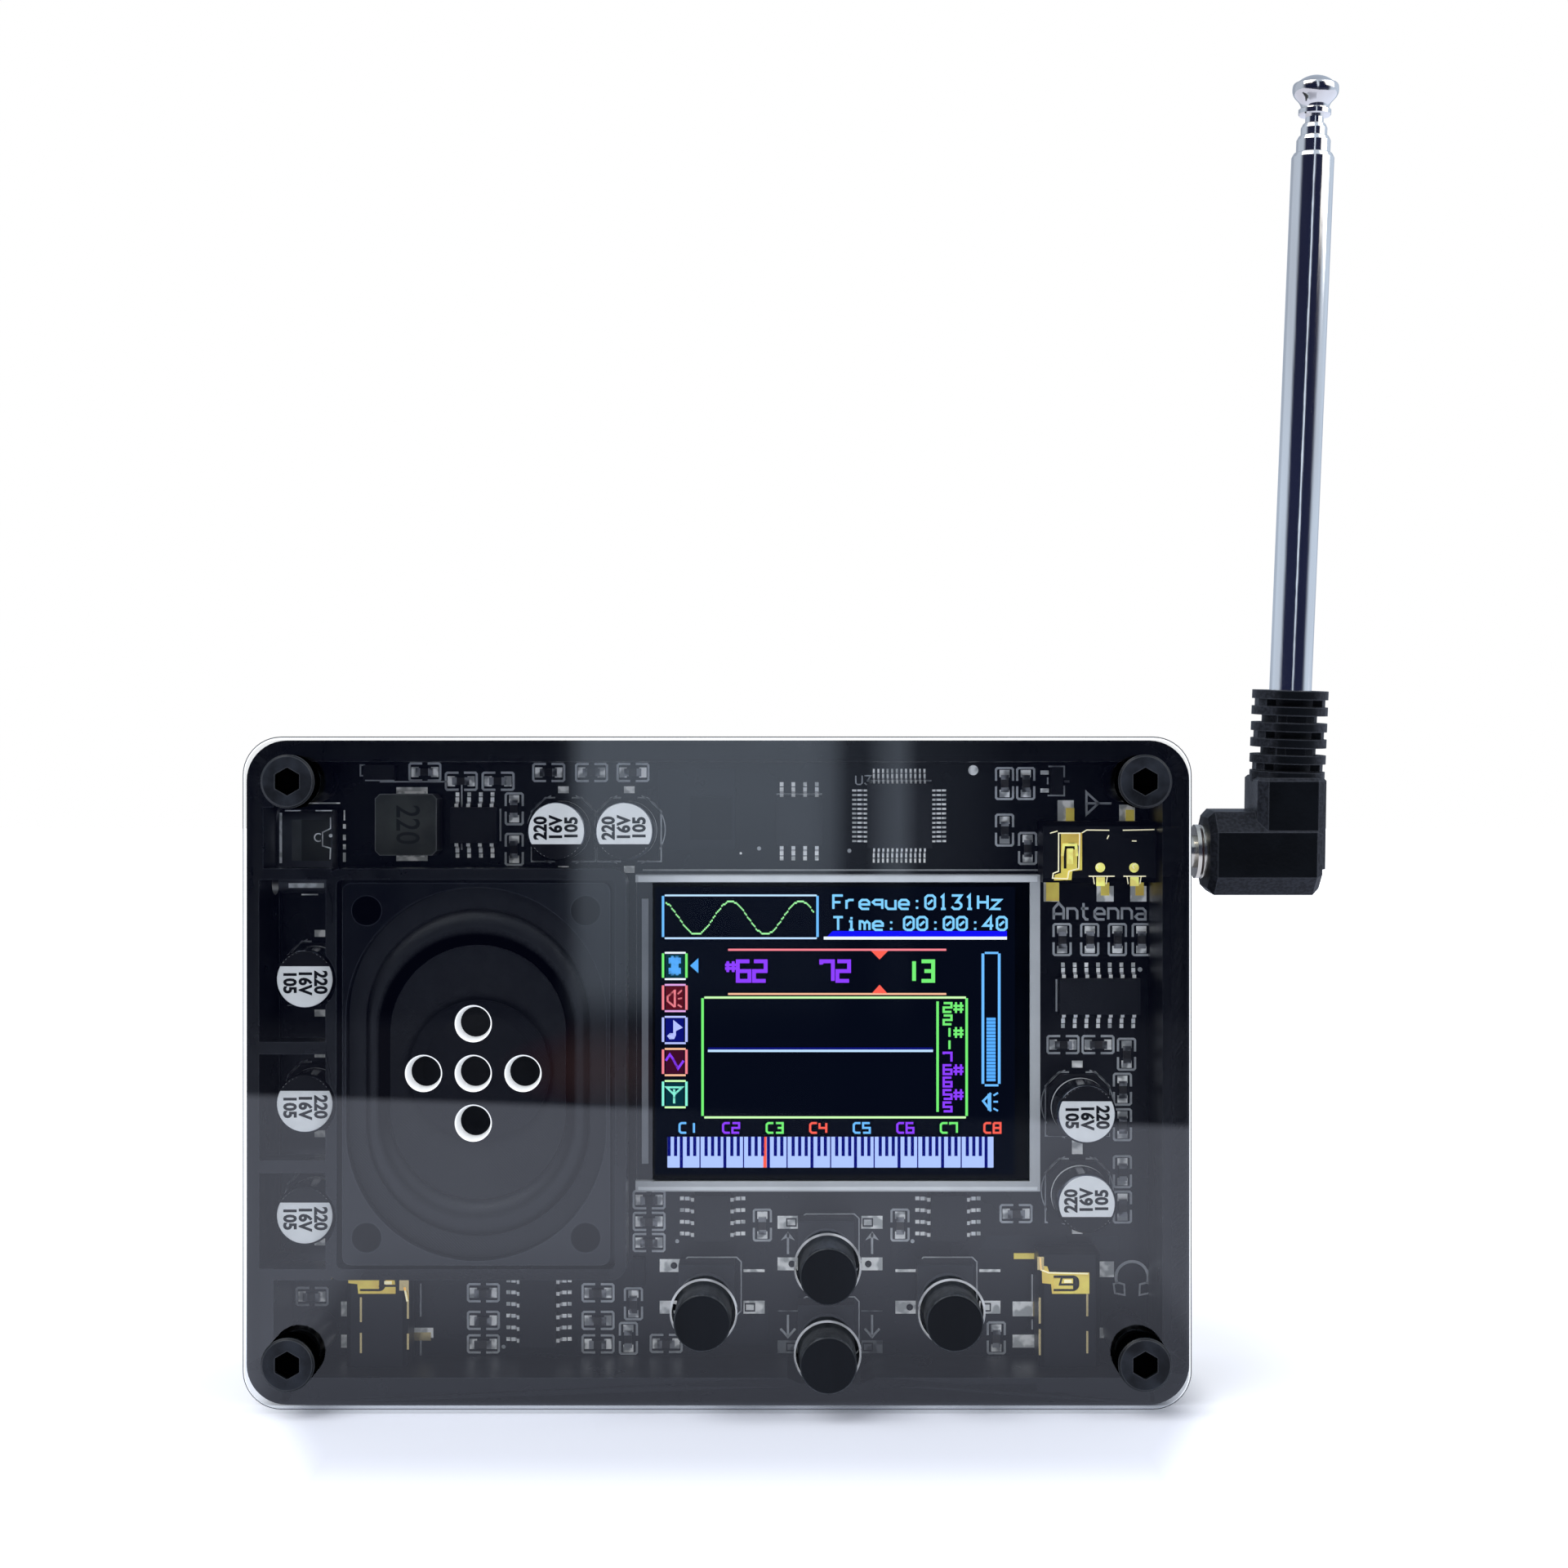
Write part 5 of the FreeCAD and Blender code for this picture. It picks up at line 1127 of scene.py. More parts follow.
class THEREMIN_OT_capacitors(bpy.types.Operator):
    """Aluminium cans with their ratings and dark polarity marks, on black bases"""

    bl_idname = "theremin.capacitors"
    bl_label = "Capacitors"

    def execute(self, context):
        # Painted light and shade: pale can tops and dark shiny sides.
        dress("capacitor_cans", facing_shaded("can_aluminium", (0.82, 0.83, 0.84), (0.11, 0.115, 0.13),
                                         roughness=0.55, patch=0.02, side_metal=1.0))
        dress("capacitor_bases", surface("base_black", (0.008, 0.009, 0.011), 0.5, grain=4000, depth=0.3,
                                         specular=0.3))
        black = surface("rating_ink", (0.003, 0.003, 0.004), 0.45, grain=5000, depth=0.1, specular=0.2)
        cans = solids("capacitor_cans")
        drawing = Drawing(cans[0][0].y, 0.015 * MM)
        middles = [(low + high) / 2 for low, high in cans]
        radius = (cans[0][1].x - cans[0][0].x) / 2
        lowest_right = min((m for m in middles if m.x > 0), key=lambda m: m.z)
        top_pair = sorted(middles, key=lambda m: -m.z)[:2]
        for middle in middles:
            end = -1 if middle in top_pair or middle is lowest_right else 1
            self.mark(drawing, middle, radius, end)
            self.rating(drawing, middle, end)
        drawing.piece("capacitor_marks", "case", "base_black", [black])
        return {"FINISHED"}

    def mark(self, drawing, middle, radius, end):
        """Dark segment at one end of a can, carried over its rounded rim."""
        chord, rim, steps, film = 0.44 * radius, 0.35 * MM, 16, 0.015 * MM
        half_angle = math.acos(chord / radius)
        flat = radius - rim
        profile = [(chord, 0.0), (flat, 0.0)]
        profile += [(flat + rim * math.sin(math.radians(t)), rim * (1 - math.cos(math.radians(t)))) for t in
                    (30, 60, 85)]
        rows = []
        for step in range(steps + 1):
            angle = half_angle * (2 * step / steps - 1)
            start = chord / math.cos(angle)
            for lift in (film, -film):
                reach = [(max(start, r), y) for r, y in profile]
                rows.append([(middle.x + r * math.sin(angle), drawing.plane + y - lift,
                              middle.z + end * r * math.cos(angle)) for r, y in reach])
        drawing.shell(rows[0::2], rows[1::2])

    def rating(self, drawing, middle, end):
        """Three lines of type that read across the mark."""
        lines = (settings().board.capacity, settings().board.voltage, "105")
        for index, text in enumerate(lines):
            shift = (1 - index) * 1.62 * MM * end
            drawing.words(text, middle.x + shift, middle.z - end * 0.3 * MM, 1.35 * MM,
                          turn=-end * math.pi / 2, squeeze=0.88, weight=0.04)


# ---------------------------------------------------------------- display


class THEREMIN_OT_display(bpy.types.Operator):
    """White tray with painted highlight strips, dark glass, driver and the lit picture"""

    bl_idname = "theremin.display"
    bl_label = "Display"

    def execute(self, context):
        dress("display_frame", surface("display_tray", (0.5, 0.515, 0.535), 0.5, grain=3500, depth=0.15,
                                       mottle=0.04))
        dress("display_glass", surface("display_dark_glass", (0.0006, 0.0014, 0.004), 0.12, grain=2000,
                                       depth=0.0, specular=0.1))
        dress("display_driver", surface("driver_silicon", (0.2, 0.21, 0.23), 0.3, grain=3000, depth=0.1))
        self.picture()
        self.paint_tray_highlights()
        return {"FINISHED"}

    def paint_tray_highlights(self):
        """Painted highlights: paler strips along the top and the foot of the tray."""
        low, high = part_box("display_frame")
        pale = surface("tray_painted_highlight", (0.78, 0.8, 0.82), 0.4, grain=3500, depth=0.1, mottle=0.05)
        drawing = Drawing(low.y, 0.02 * MM)
        left, right, inset = low.x + 0.3 * MM, high.x - 0.3 * MM, 0.15 * MM
        drawing.box(left, high.z - 0.75 * MM, right, high.z - inset)
        drawing.box(left, low.z + inset, right, low.z + 0.5 * MM)
        drawing.piece("display_tray_highlights", "case", "display_white", [pale])

    def picture(self):
        """Everything that the display shows, drawn on its own grid of cells from the top left."""
        values = settings().display
        cell = values.cell
        right = GLASS_HIGH.x - values.right_margin
        left = right - values.columns * cell
        top = GLASS_HIGH.z - values.top_margin
        lights = [glow("light_" + name, ink(*colour), values.brightness) for name, colour in LIGHTS.items()]
        ground = Screen(left, top, cell, GLASS_LOW.y)
        ground.block(0, 0, values.columns, values.rows, "ground")
        ground.drawing.piece("picture_ground", "case", "display_glass", lights)
        screen = Screen(left, top, cell, GLASS_LOW.y - 0.01 * MM)
        self.wave(screen)
        self.texts(screen)
        self.icons(screen)
        self.tuner(screen)
        self.note_box(screen)
        self.gauge(screen)
        self.keyboard(screen, bpy.data.materials["light_key"])
        screen.drawing.piece("picture_lines", "case", "display_glass", lights)

    def wave(self, screen):
        """Framed sine wave, drawn as a row of dots."""
        screen.bars(6.0, 6.8, 145.6, 46.5, 2.2, 1.6, "sky", "pale")
        for k in range(104):
            column = 10 + k * 1.27
            row = 27.5 - 14.6 * math.cos((column - 67.5) / 61.7 * 2 * math.pi)
            row = round(row / 1.3) * 1.3
            screen.block(column - 0.6, row - 0.75, column + 0.6, row + 0.75, "wave")

    def texts(self, screen):
        """Pitch and time, underlined by a bright bar, and the octave names over the keyboard."""
        values = settings().display
        screen.text(values.pitch_text, 158.6, 19.6, 11.7, 11.9, 2.1, "text")
        screen.text(values.clock_label, 158.6, 38.3, 11.8, 11.4, 2.1, "text")
        screen.text(values.clock_text, 221.5, 38.3, 11.8, 11.4, 2.1, "text")
        screen.shape([(158, 39.2), (313, 39.2), (313, 44.2), (153, 44.2)], "blue")
        screen.block(150, 44.3, 313, 46.9, "white")
        for index, colour in enumerate(("sky", "violet", "leaf", "red") * 2):
            screen.text("C" + str(index + 1), 21.8 + 38.73 * index, 218.7, 8.3, 8.6, 1.9, colour, BLOCKS)

    def icons(self, screen):
        """Column of five boxed symbols at the left of the picture, and a pointer."""
        boxes = (("leaf", "white", "teal"), ("rose", "lilac", "wine"), ("lavender", "lavender", "navy"),
                 ("rose", "sand", "plum"), ("aqua", "mint", "teal"))
        for index, (side, rim, fill) in enumerate(boxes):
            low = 57.8 + 28.5 * index
            screen.block(9.4, low + 2.2, 25.6, low + 23, fill)
            screen.bars(6.0, low, 29.0, low + 25.1, 2.2, 1.7, side, rim)
        for corners in ((12.1, 63, 23, 68.2), (12.1, 72, 23, 77.4), (14.2, 61.4, 17, 78.7),
                        (18.2, 61.4, 21, 78.7), (14.2, 66, 21, 74)):
            screen.block(*corners, "azure")
        screen.shape([(31.2, 70.1), (38.5, 63.4), (38.5, 76.7)], "azure")
        screen.line([(17.4, 92.3), (11.2, 97.5), (11.2, 101.5), (17.4, 106.8)], 1.7, "rose")
        screen.line([(17.6, 91.5), (17.6, 107)], 1.9, "rose")
        for start, end in (((20.2, 95.5), (23.8, 91.8)), ((20.4, 99.6), (24, 99)),
                           ((20.2, 104.8), (23.8, 107))):
            screen.line([start, end], 1.5, "rose")
        screen.shape([(16.2, 118.3), (24.7, 125.2), (16.2, 129.5)], "lavender")
        screen.block(16.2, 126, 18.6, 132, "lavender")
        screen.shape([(10.6, 132.6), (13, 130.2), (17, 130.2), (18.6, 132), (17, 135.4), (13, 135.6)],
                     "lavender")
        screen.line([(9.6, 154.6), (13.2, 149.2), (16, 153), (20.4, 161.6), (25.4, 154.6)], 2.1, "violet")
        screen.line([(10.4, 178.3), (24, 178.3), (17, 184.8)], 1.9, "aqua", True)
        screen.line([(17, 180), (17, 192.6)], 2.0, "aqua")

    def tuner(self, screen):
        """Two long lines with pointers, and the numbers between them."""
        screen.block(65, 55, 259, 56.9, "rose")
        screen.block(65, 94.4, 259, 96.1, "sand")
        screen.shape([(192.1, 56.9), (207.3, 56.9), (199.7, 64.6)], "red")
        screen.shape([(192.7, 94.9), (206.8, 94.9), (199.7, 87)], "red")
        screen.text("#", 62.3, 75.8, 13.4, 9.6, 2.5, "violet", BLOCKS)
        for words, column, colour in (("62", 73.6, "violet"), ("72", 147.8, "violet"), ("13", 222.6, "leaf")):
            screen.text(words, column, 83.6, 14.4, 17.4, 3.4, colour, BLOCKS)

    def note_box(self, screen):
        """Large green frame with a line across it and a column of note names at its right."""
        screen.bars(41.1, 97.5, 278.3, 206, 2.3, 1.9, "leaf", "mint")
        screen.block(250.2, 101.9, 252.4, 200.1, "leaf")
        screen.block(47, 142.9, 247, 144.8, "navy")
        screen.block(47, 144.8, 247.2, 146.9, "pale")
        for index, words in enumerate(("2#", "2", "1#", "1", "7", "6#", "6", "5#", "5")):
            colour = "leaf" if index < 4 else "violet"
            screen.text(words[0], 256.7, 111.2 + index * 11.05, 9.6, 7.8, 2.0, colour, BLOCKS)
            if words[1:]:
                screen.text("#", 265.4, 112.2 + index * 11.05, 12.4, 9.6, 1.9, colour, BLOCKS)

    def gauge(self, screen):
        """Level gauge, filled from below, with a loudspeaker under it."""
        screen.bars(290.4, 57.8, 307.3, 177.4, 2.4, 1.9, "sky", "sky")
        for k in range(19):
            screen.block(294.8, 116.4 + 3 * k, 302.9, 118.9 + 3 * k, "azure")
        screen.line([(298.8, 183.4), (291.8, 190.5), (298.8, 199.5)], 2.0, "sky")
        screen.line([(297.4, 184), (297.4, 198.8)], 3.2, "sky")
        for start, end in (((301, 185.6), (305, 183.2)), ((301, 191.1), (305, 191.1)),
                           ((301, 197), (305, 199.2))):
            screen.line([start, end], 1.6, "sky")

    def keyboard(self, screen, white):
        """Fifty-two white keys in a row, parted between octaves, the lit one, and the black keys."""
        values = settings().display
        count, first, last, high_row, low_row = 52, 11.0, 301.0, 222.3, 249.7
        pitch, octave = (last - first) / count, 38.72
        x, z = screen.at(first + pitch / 2, (low_row + high_row) / 2)
        start = Vector((x, screen.drawing.plane, z))
        key_width = pitch * screen.cell
        grow("picture_keys", row_tree(), [start],
             {"Count": count, "Pitch": key_width, "Width": key_width, "Thickness": 0.01 * MM,
              "Height": (low_row - high_row) * screen.cell}, white, "case")
        for k in range(-1, 8):
            gap = 23.4 + octave * k
            self.bar(screen, gap, 2.8, high_row, low_row)
            self.bar(screen, gap + 16.6, 1.1, high_row, low_row)
            for shift in (6.2, 11.9, 22.0, 27.8, 33.6):
                self.bar(screen, gap + shift, 2.9, high_row, 239.4)
        lit = first + values.lit_key * pitch
        screen.block(lit + 1.6, high_row, lit + pitch - 1.0, low_row, "red")

    def bar(self, screen, column, width, high_row, low_row):
        """Dark upright of the keyboard, left out beyond its ends."""
        if 12 < column < 300:
            screen.block(column - width / 2, high_row, column + width / 2, low_row, "navy")


# ---------------------------------------------------------------- speaker


class THEREMIN_OT_speaker(bpy.types.Operator):
    """Dark steel plate, woven surround, paper cone and dust cap, coil and magnet"""

    bl_idname = "theremin.speaker"
    bl_label = "Speaker"

    def execute(self, context):
        # Painted highlights along the plate's edges.
        dress("speaker_plate", surface("speaker_steel", (0.001, 0.0014, 0.0022), 0.2, grain=3000, depth=0.03,
                                       mottle=0.25, edge=0.14 * MM, edge_highlight=(0.04, 0.045, 0.055)))
        roll = self.weave("surround_weave", (0.009, 0.01, 0.0125), 0.45, 0.3)
        # Painted shade on the surround's flanks that face down.
        paint_shade(roll, self.flank_shade(roll.node_tree), 0.01)
        dress("speaker_surround", roll)
        dress("speaker_cone", self.weave("cone_weave", (0.0055, 0.0065, 0.009), 0.6, 0.25))
        dress("speaker_dust_cap", self.weave("cap_weave", (0.0034, 0.0042, 0.0065), 0.55, 0.12))
        self.shade_plate_holes()
        dress("voice_coil", surface("coil_copper", (0.5, 0.22, 0.09), 0.35, metallic=1.0, stretch=(1, 12, 1)))
        dress("speaker_magnet", surface("magnet_steel", (0.4, 0.41, 0.43), 0.35, metallic=1.0))
        return {"FINISHED"}

    def flank_shade(self, tree):
        """Painted shade on the surround: how steeply it falls away from its crest, most towards the cone, on
        faces that do not look up.
        """
        low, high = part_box("speaker_surround")
        middle = (low + high) / 2
        place = add(tree, "ShaderNodeTexCoord")
        straight = (high.z - low.z - high.x + low.x) / 2
        spot = add(tree, "ShaderNodeSeparateXYZ", {0: place.outputs["Object"]})
        across = maths(tree, "SUBTRACT", spot.outputs["X"], middle.x)
        up = maths(tree, "SUBTRACT", spot.outputs["Z"], middle.z)
        end = maths(tree, "MAXIMUM", maths(tree, "SUBTRACT", maths(tree, "ABSOLUTE", up), straight), 0.0)
        end = maths(tree, "MULTIPLY", end, maths(tree, "SIGN", up))
        outward = add(tree, "ShaderNodeCombineXYZ", {0: across, 1: 0.0, 2: end}).outputs[0]
        outward = vectors(tree, "NORMALIZE", outward)
        lean = add(tree, "ShaderNodeVectorMath", {0: place.outputs["Normal"], 1: outward},
                   operation="DOT_PRODUCT").outputs["Value"]
        turned = maths(tree, "MAXIMUM", ramp(tree, lean, 0.02, -0.3), ramp(tree, lean, 0.3, 0.7, 0.0, 0.7))
        upward = axes_of(tree, place.outputs["Normal"])["Z"]
        return maths(tree, "MULTIPLY", turned, ramp(tree, upward, 0.4, 0.0))

    def shade_plate_holes(self):
        """Painted shade: black discs behind the four holes of the plate."""
        low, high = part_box("speaker_plate")
        middle = (low + high) / 2
        black = surface("hole_shade_black", (0.0003, 0.0003, 0.0004), 0.8, specular=0.0)
        drawing = Drawing(low.y + 1.2 * MM, 0.05 * MM)
        across, up, radius = 11.45 * MM, 17.1 * MM, 1.75 * MM
        for side in (-1, 1):
            for end in (-1, 1):
                drawing.disc(middle.x + side * across, middle.z + end * up, radius)
        drawing.piece("plate_hole_shade_discs", "case", "speaker_steel", [black])

    def weave(self, name, colour, roughness, specular):
        """Coated cloth with a fine crossed weave."""
        material = bpy.data.materials.new(name)
        tree = clear_tree(material)
        place = coordinates(tree)
        axes = axes_of(tree, place)
        threads = [maths(tree, "SINE", maths(tree, "MULTIPLY", axes[axis], 2 * math.pi / (0.32 * MM)))
                   for axis in ("X", "Z")]
        height = maths(tree, "MULTIPLY", threads[0], threads[1])
        cloud = add(tree, "ShaderNodeTexNoise", {"Vector": place, "Scale": 400.0, "Detail": 3.0}).outputs[0]
        dark, light = shades(colour, 0.3)
        bump = add(tree, "ShaderNodeBump", {"Height": height, "Strength": 0.12, "Distance": 0.05 * MM})
        shader = add(tree, "ShaderNodeBsdfPrincipled",
                     {"Base Color": blend_colours(tree, cloud, dark, light), "Roughness": roughness,
                      "Normal": bump.outputs["Normal"], "Specular IOR Level": specular})
        end_material(tree, shader)
        return material


# ---------------------------------------------------------------- sockets, buttons, battery


class THEREMIN_OT_sockets(bpy.types.Operator):
    """Black sockets with gold contacts, and the steel power socket"""

    bl_idname = "theremin.sockets"
    bl_label = "Sockets"

    def execute(self, context):
        black = surface("socket_black", (0.0018, 0.0024, 0.004), 0.4, grain=4000, depth=0.1, mottle=0.2,
                        specular=0.3)
        # Painted glow on the gold contacts.
        gold = paint_glow(surface("contact_gold", (1.0, 0.68, 0.13), 0.35, metallic=0.3, grain=3500, depth=0.25,
                                mottle=0.25), 0.22)
        for node in ("antenna_jack", "headphone_jack", "line_jack"):
            dress(node, black)
            dress(node + "_contacts", gold)
        dress("usb_shell", surface("usb_steel", (0.06, 0.062, 0.068), 0.3, metallic=0.5, grain=3500,
                                   depth=0.1, mottle=0.2))
        dress("usb_tongue", black)
        self.power_socket()
        self.side_strips()
        self.sprung_contacts()
        self.antenna_springs()
        dress("battery", surface("battery_foil", (0.5, 0.51, 0.53), 0.35, metallic=0.7, grain=900, depth=0.3))
        return {"FINISHED"}

    def power_socket(self):
        """Painted highlights along the edges of the power socket's shell, a dull window, and the stamped
        latch drawn in the highlight colour.
        """
        low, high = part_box("usb_shell")
        bright = facing_shaded("shell_painted_highlight", (0.62, 0.64, 0.66), (0.3, 0.3, 0.32), roughness=0.4, patch=0.3)
        steel = {"metallic": 0.3, "grain": 3000, "depth": 0.1, "mottle": 0.3}
        dull = surface("shell_dull", (0.035, 0.037, 0.03), 0.4, **steel)
        middle = surface("shell_band", (0.085, 0.09, 0.085), 0.4, **steel)
        drawing = Drawing(low.y, 0.03 * MM)
        x, z = low.x, high.z
        drawing.boxes([(2.5, -5.45, 5.6, -1.05)], 1, x, z)
        drawing.boxes([(1.45, -5.45, 2.5, -1.05)], 2, x, z)
        # Painted highlights along the bottom, left and top edges of the shell.
        drawing.boxes([(1.1, -8.35, 4.9, -7.85), (0.12, -5.7, 0.4, -0.3), (0.7, -0.14, 2.4, -0.02),
                       (4.0, -0.14, 5.75, -0.02)], 0, x, z)
        # The latch's outline, ring and spot in the painted highlight colour.
        fine = Drawing(low.y - 0.03 * MM, 0.02 * MM)
        fine.line(millimetres([(5.6, -0.8), (5.6, -2.0), (4.75, -2.4), (4.75, -3.85), (5.6, -4.1),
                               (5.55, -5.3)], x, z), 0.13 * MM)
        fine.line(arc(x + 4.3 * MM, z - 2.95 * MM, 0.42 * MM, 50, 310, 10), 0.14 * MM)
        fine.disc(x + 5.62 * MM, z - 2.75 * MM, 0.2 * MM, steps=10)
        drawing.piece("power_shell_highlights_and_marks", "case", "usb_steel", [bright, dull, middle])
        fine.piece("power_shell_latch_highlight", "case", "usb_steel", [bright])
        feet = Drawing(BOARD_FRONT, 0.04 * MM)
        for top, base, width in ((62.0, 60.9, 0.08), (60.5, 60.0, 0.16), (59.35, 58.75, 0.16),
                                 (58.3, 57.75, 0.16), (57.4, 56.4, 0.16)):
            feet.boxes([(-40.84 - width, base, -40.84 + width, top)])
        feet.boxes([(-45.7, 62.7, -41.3, 62.84), (-45.5, 52.77, -43.7, 52.92)])
        feet.piece("power_feet", "case", "leg_tin", [bpy.data.materials["pad_tin"]])

    def side_strips(self):
        """Gold springs that show in the shoulders of the two lower sockets."""
        gold = bpy.data.materials["contact_gold"]
        for node, strips in (("headphone_jack", ((34.1, 7.46, 10.22), (34.1, 4.1, 6.87), (39.15, 8.25, 11.2),
                                                 (39.15, 4.3, 6.67))),
                             ("line_jack", ((-38.1, 7.63, 10.26), (-38.1, 4.33, 6.48), (-33.1, 7.98, 11.1),
                                            (-33.1, 4.7, 6.4)))):
            low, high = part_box(node)
            drawing = Drawing(low.y + 0.2 * MM, 0.24 * MM)
            for x, base, top in strips:
                drawing.box((x - 0.11) * MM, max(base * MM, low.z + 2.6 * MM), (x + 0.11) * MM, top * MM)
            drawing.piece(node + "_springs", "case", "contact_gold", [gold])
        tab = Drawing(BOARD_FRONT - 0.26 * MM, 0.05 * MM)
        tab.boxes([(-33.26, 4.48, -31.4, 5.36), (33.9, 7.1, 34.7, 8.7)])
        tab.piece("soldered_springs", "case", "contact_gold", [gold])

    def sprung_contacts(self):
        """Stamped windows of the gold contacts in the two lower sockets, and painted highlights on their
        bends, with a painted glow.
        """
        gold = bpy.data.materials["contact_gold"]
        dark = surface("contact_window", (0.02, 0.016, 0.006), 0.5, grain=3000, mottle=0.4)
        light = paint_glow(facing_shaded("contact_bend_highlight", (1.0, 0.9, 0.55), (0.6, 0.5, 0.2), roughness=0.4), 0.4)
        for node, x, z in (("line_jack", -35.1, 11.9), ("headphone_jack", 37.1, 12.05)):
            front = min(low.y for low, high in solids(node + "_contacts"))
            drawing = Drawing(front - 0.02 * MM, 0.02 * MM)
            window = [(x - 0.9, z - 0.35), (x - 0.7, z + 0.4), (x + 0.75, z + 0.4), (x + 0.85, z - 0.35)]
            drawing.line(millimetres(window), 0.22 * MM, 1, closed=True)
            drawing.box((x - 0.45) * MM, (z - 0.18) * MM, (x + 0.35) * MM, (z + 0.16) * MM, 2)
            if node == "line_jack":
                drawing.box(-33.95 * MM, (z - 0.85) * MM, -32.95 * MM, (z + 0.9) * MM, 0)
                drawing.line([(-37.3 * MM, (z + 0.8) * MM), (-32.9 * MM, (z + 0.8) * MM)], 0.16 * MM, 2)
                drawing.line([(-33.4 * MM, (z - 0.5) * MM), (-33.1 * MM, (z - 2.0) * MM)], 0.2 * MM, 2)
            else:
                drawing.line(millimetres([(34.1, z + 2.5), (34.2, z + 1.2), (35.0, z + 0.9),
                                          (39.2, z + 0.8)]), 0.16 * MM, 2)
                drawing.boxes([(33.8, z + 1.2, 34.5, z + 2.6)])
            drawing.piece(node + "_bends_and_highlights", "case", "contact_gold", [gold, dark, light])

    def antenna_springs(self):
        """Painted highlights along the contact's edges, spring wires and loops that show in the antenna's
        socket, all with a painted glow, and painted glints on the loops.
        """
        bright = facing_shaded("gold_edge_highlight", (1.0, 0.92, 0.62), (0.7, 0.6, 0.3), roughness=0.4)
        yellow = facing_shaded("gold_bright", (1.0, 0.86, 0.22), (0.6, 0.45, 0.12), roughness=0.4, patch=0.15)
        front = min(low.y for low, high in solids("antenna_jack_contacts"))
        drawing = Drawing(front, 0.02 * MM)
        outline = [(36.07, 59.62), (38.31, 59.62), (38.2, 55.87), (37.15, 55.58), (37.01, 54.78),
                   (35.42, 54.85), (35.49, 55.36), (36.05, 55.58)]
        drawing.line(millimetres(outline), 0.13 * MM, closed=True)
        drawing.boxes([(36.95, 56.35, 37.6, 58.0)], 1)
        drawing.line(millimetres([(36.45, 57.2), (36.6, 58.4), (37.9, 58.4), (38.0, 57.2)]), 0.3 * MM, 1)
        drawing.piece("antenna_contact_highlights", "case", "contact_gold", [bright, yellow])
        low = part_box("antenna_jack")[0]
        wires = Drawing(low.y, 0.03 * MM)
        for points in (((35.2, 59.62), (36.0, 59.85)), ((38.35, 59.5), (39.1, 59.96), (41.5, 59.93)),
                       ((42.93, 59.93), (46.3, 60.0)), ((41.25, 59.0), (41.45, 59.4)),
                       ((43.9, 58.8), (44.4, 58.78)), ((39.3, 55.04), (42.06, 55.04)),
                       ((43.0, 55.04), (45.4, 55.04))):
            wires.line(millimetres(points), 0.12 * MM)
        for x, z in ((40.53, 55.97), (44.13, 55.95)):
            wires.disc(x * MM, z * MM, 0.52 * MM, 1)
            for side in (-1, 1):
                wires.line(millimetres([(x + side * 0.75, 55.0), (x + side * 0.62, 54.2)]), 0.1 * MM)
            wires.boxes([(x - 0.42, 54.0, x + 0.5, 54.95)], 1)
        # Painted glow on both golds.
        paint_glow(bright, 0.4)
        paint_glow(yellow, 0.35)
        wires.piece("antenna_socket_springs", "case", "contact_gold", [bright, yellow])
        glints = Drawing(low.y - 0.03 * MM, 0.02 * MM)
        for x, z in ((40.4, 56.1), (44.25, 56.1)):
            glints.line(arc(x * MM, z * MM, 0.25 * MM, 60, 250, 8), 0.1 * MM)
        glints.piece("antenna_socket_glints", "case", "contact_gold", [bright])


class THEREMIN_OT_buttons(bpy.types.Operator):
    """Black button caps, their stems and the switches under them"""

    bl_idname = "theremin.buttons"
    bl_label = "Buttons"

    def execute(self, context):
        # Painted light: highlights along the caps' edges and paler sideways faces.
        cap = surface("cap_black", (0.0045, 0.006, 0.009), 0.4, grain=2500, depth=0.2, mottle=0.3,
                      stretch=(1, 1, 0.15), specular=0.22, edge=0.1 * MM, side=(0.03, 0.034, 0.04))
        stem = surface("stem_black", (0.006, 0.006, 0.008), 0.45, specular=0.3)
        for side in ("up", "down", "left", "right"):
            dress(side + "_button", cap)
            dress(side + "_plunger", stem)
        dress("switch_bases", surface("switch_black", (0.007, 0.008, 0.01), 0.5, grain=4000, depth=0.2,
                                      specular=0.3))
        dress("switch_covers", surface("switch_steel", (0.02, 0.022, 0.027), 0.35, metallic=0.2, grain=5000,
                                       depth=0.1, specular=0.35))
        dress("switch_domes", surface("dome_steel", (0.6, 0.6, 0.6), 0.25, metallic=1.0))
        return {"FINISHED"}


# ---------------------------------------------------------------- antenna


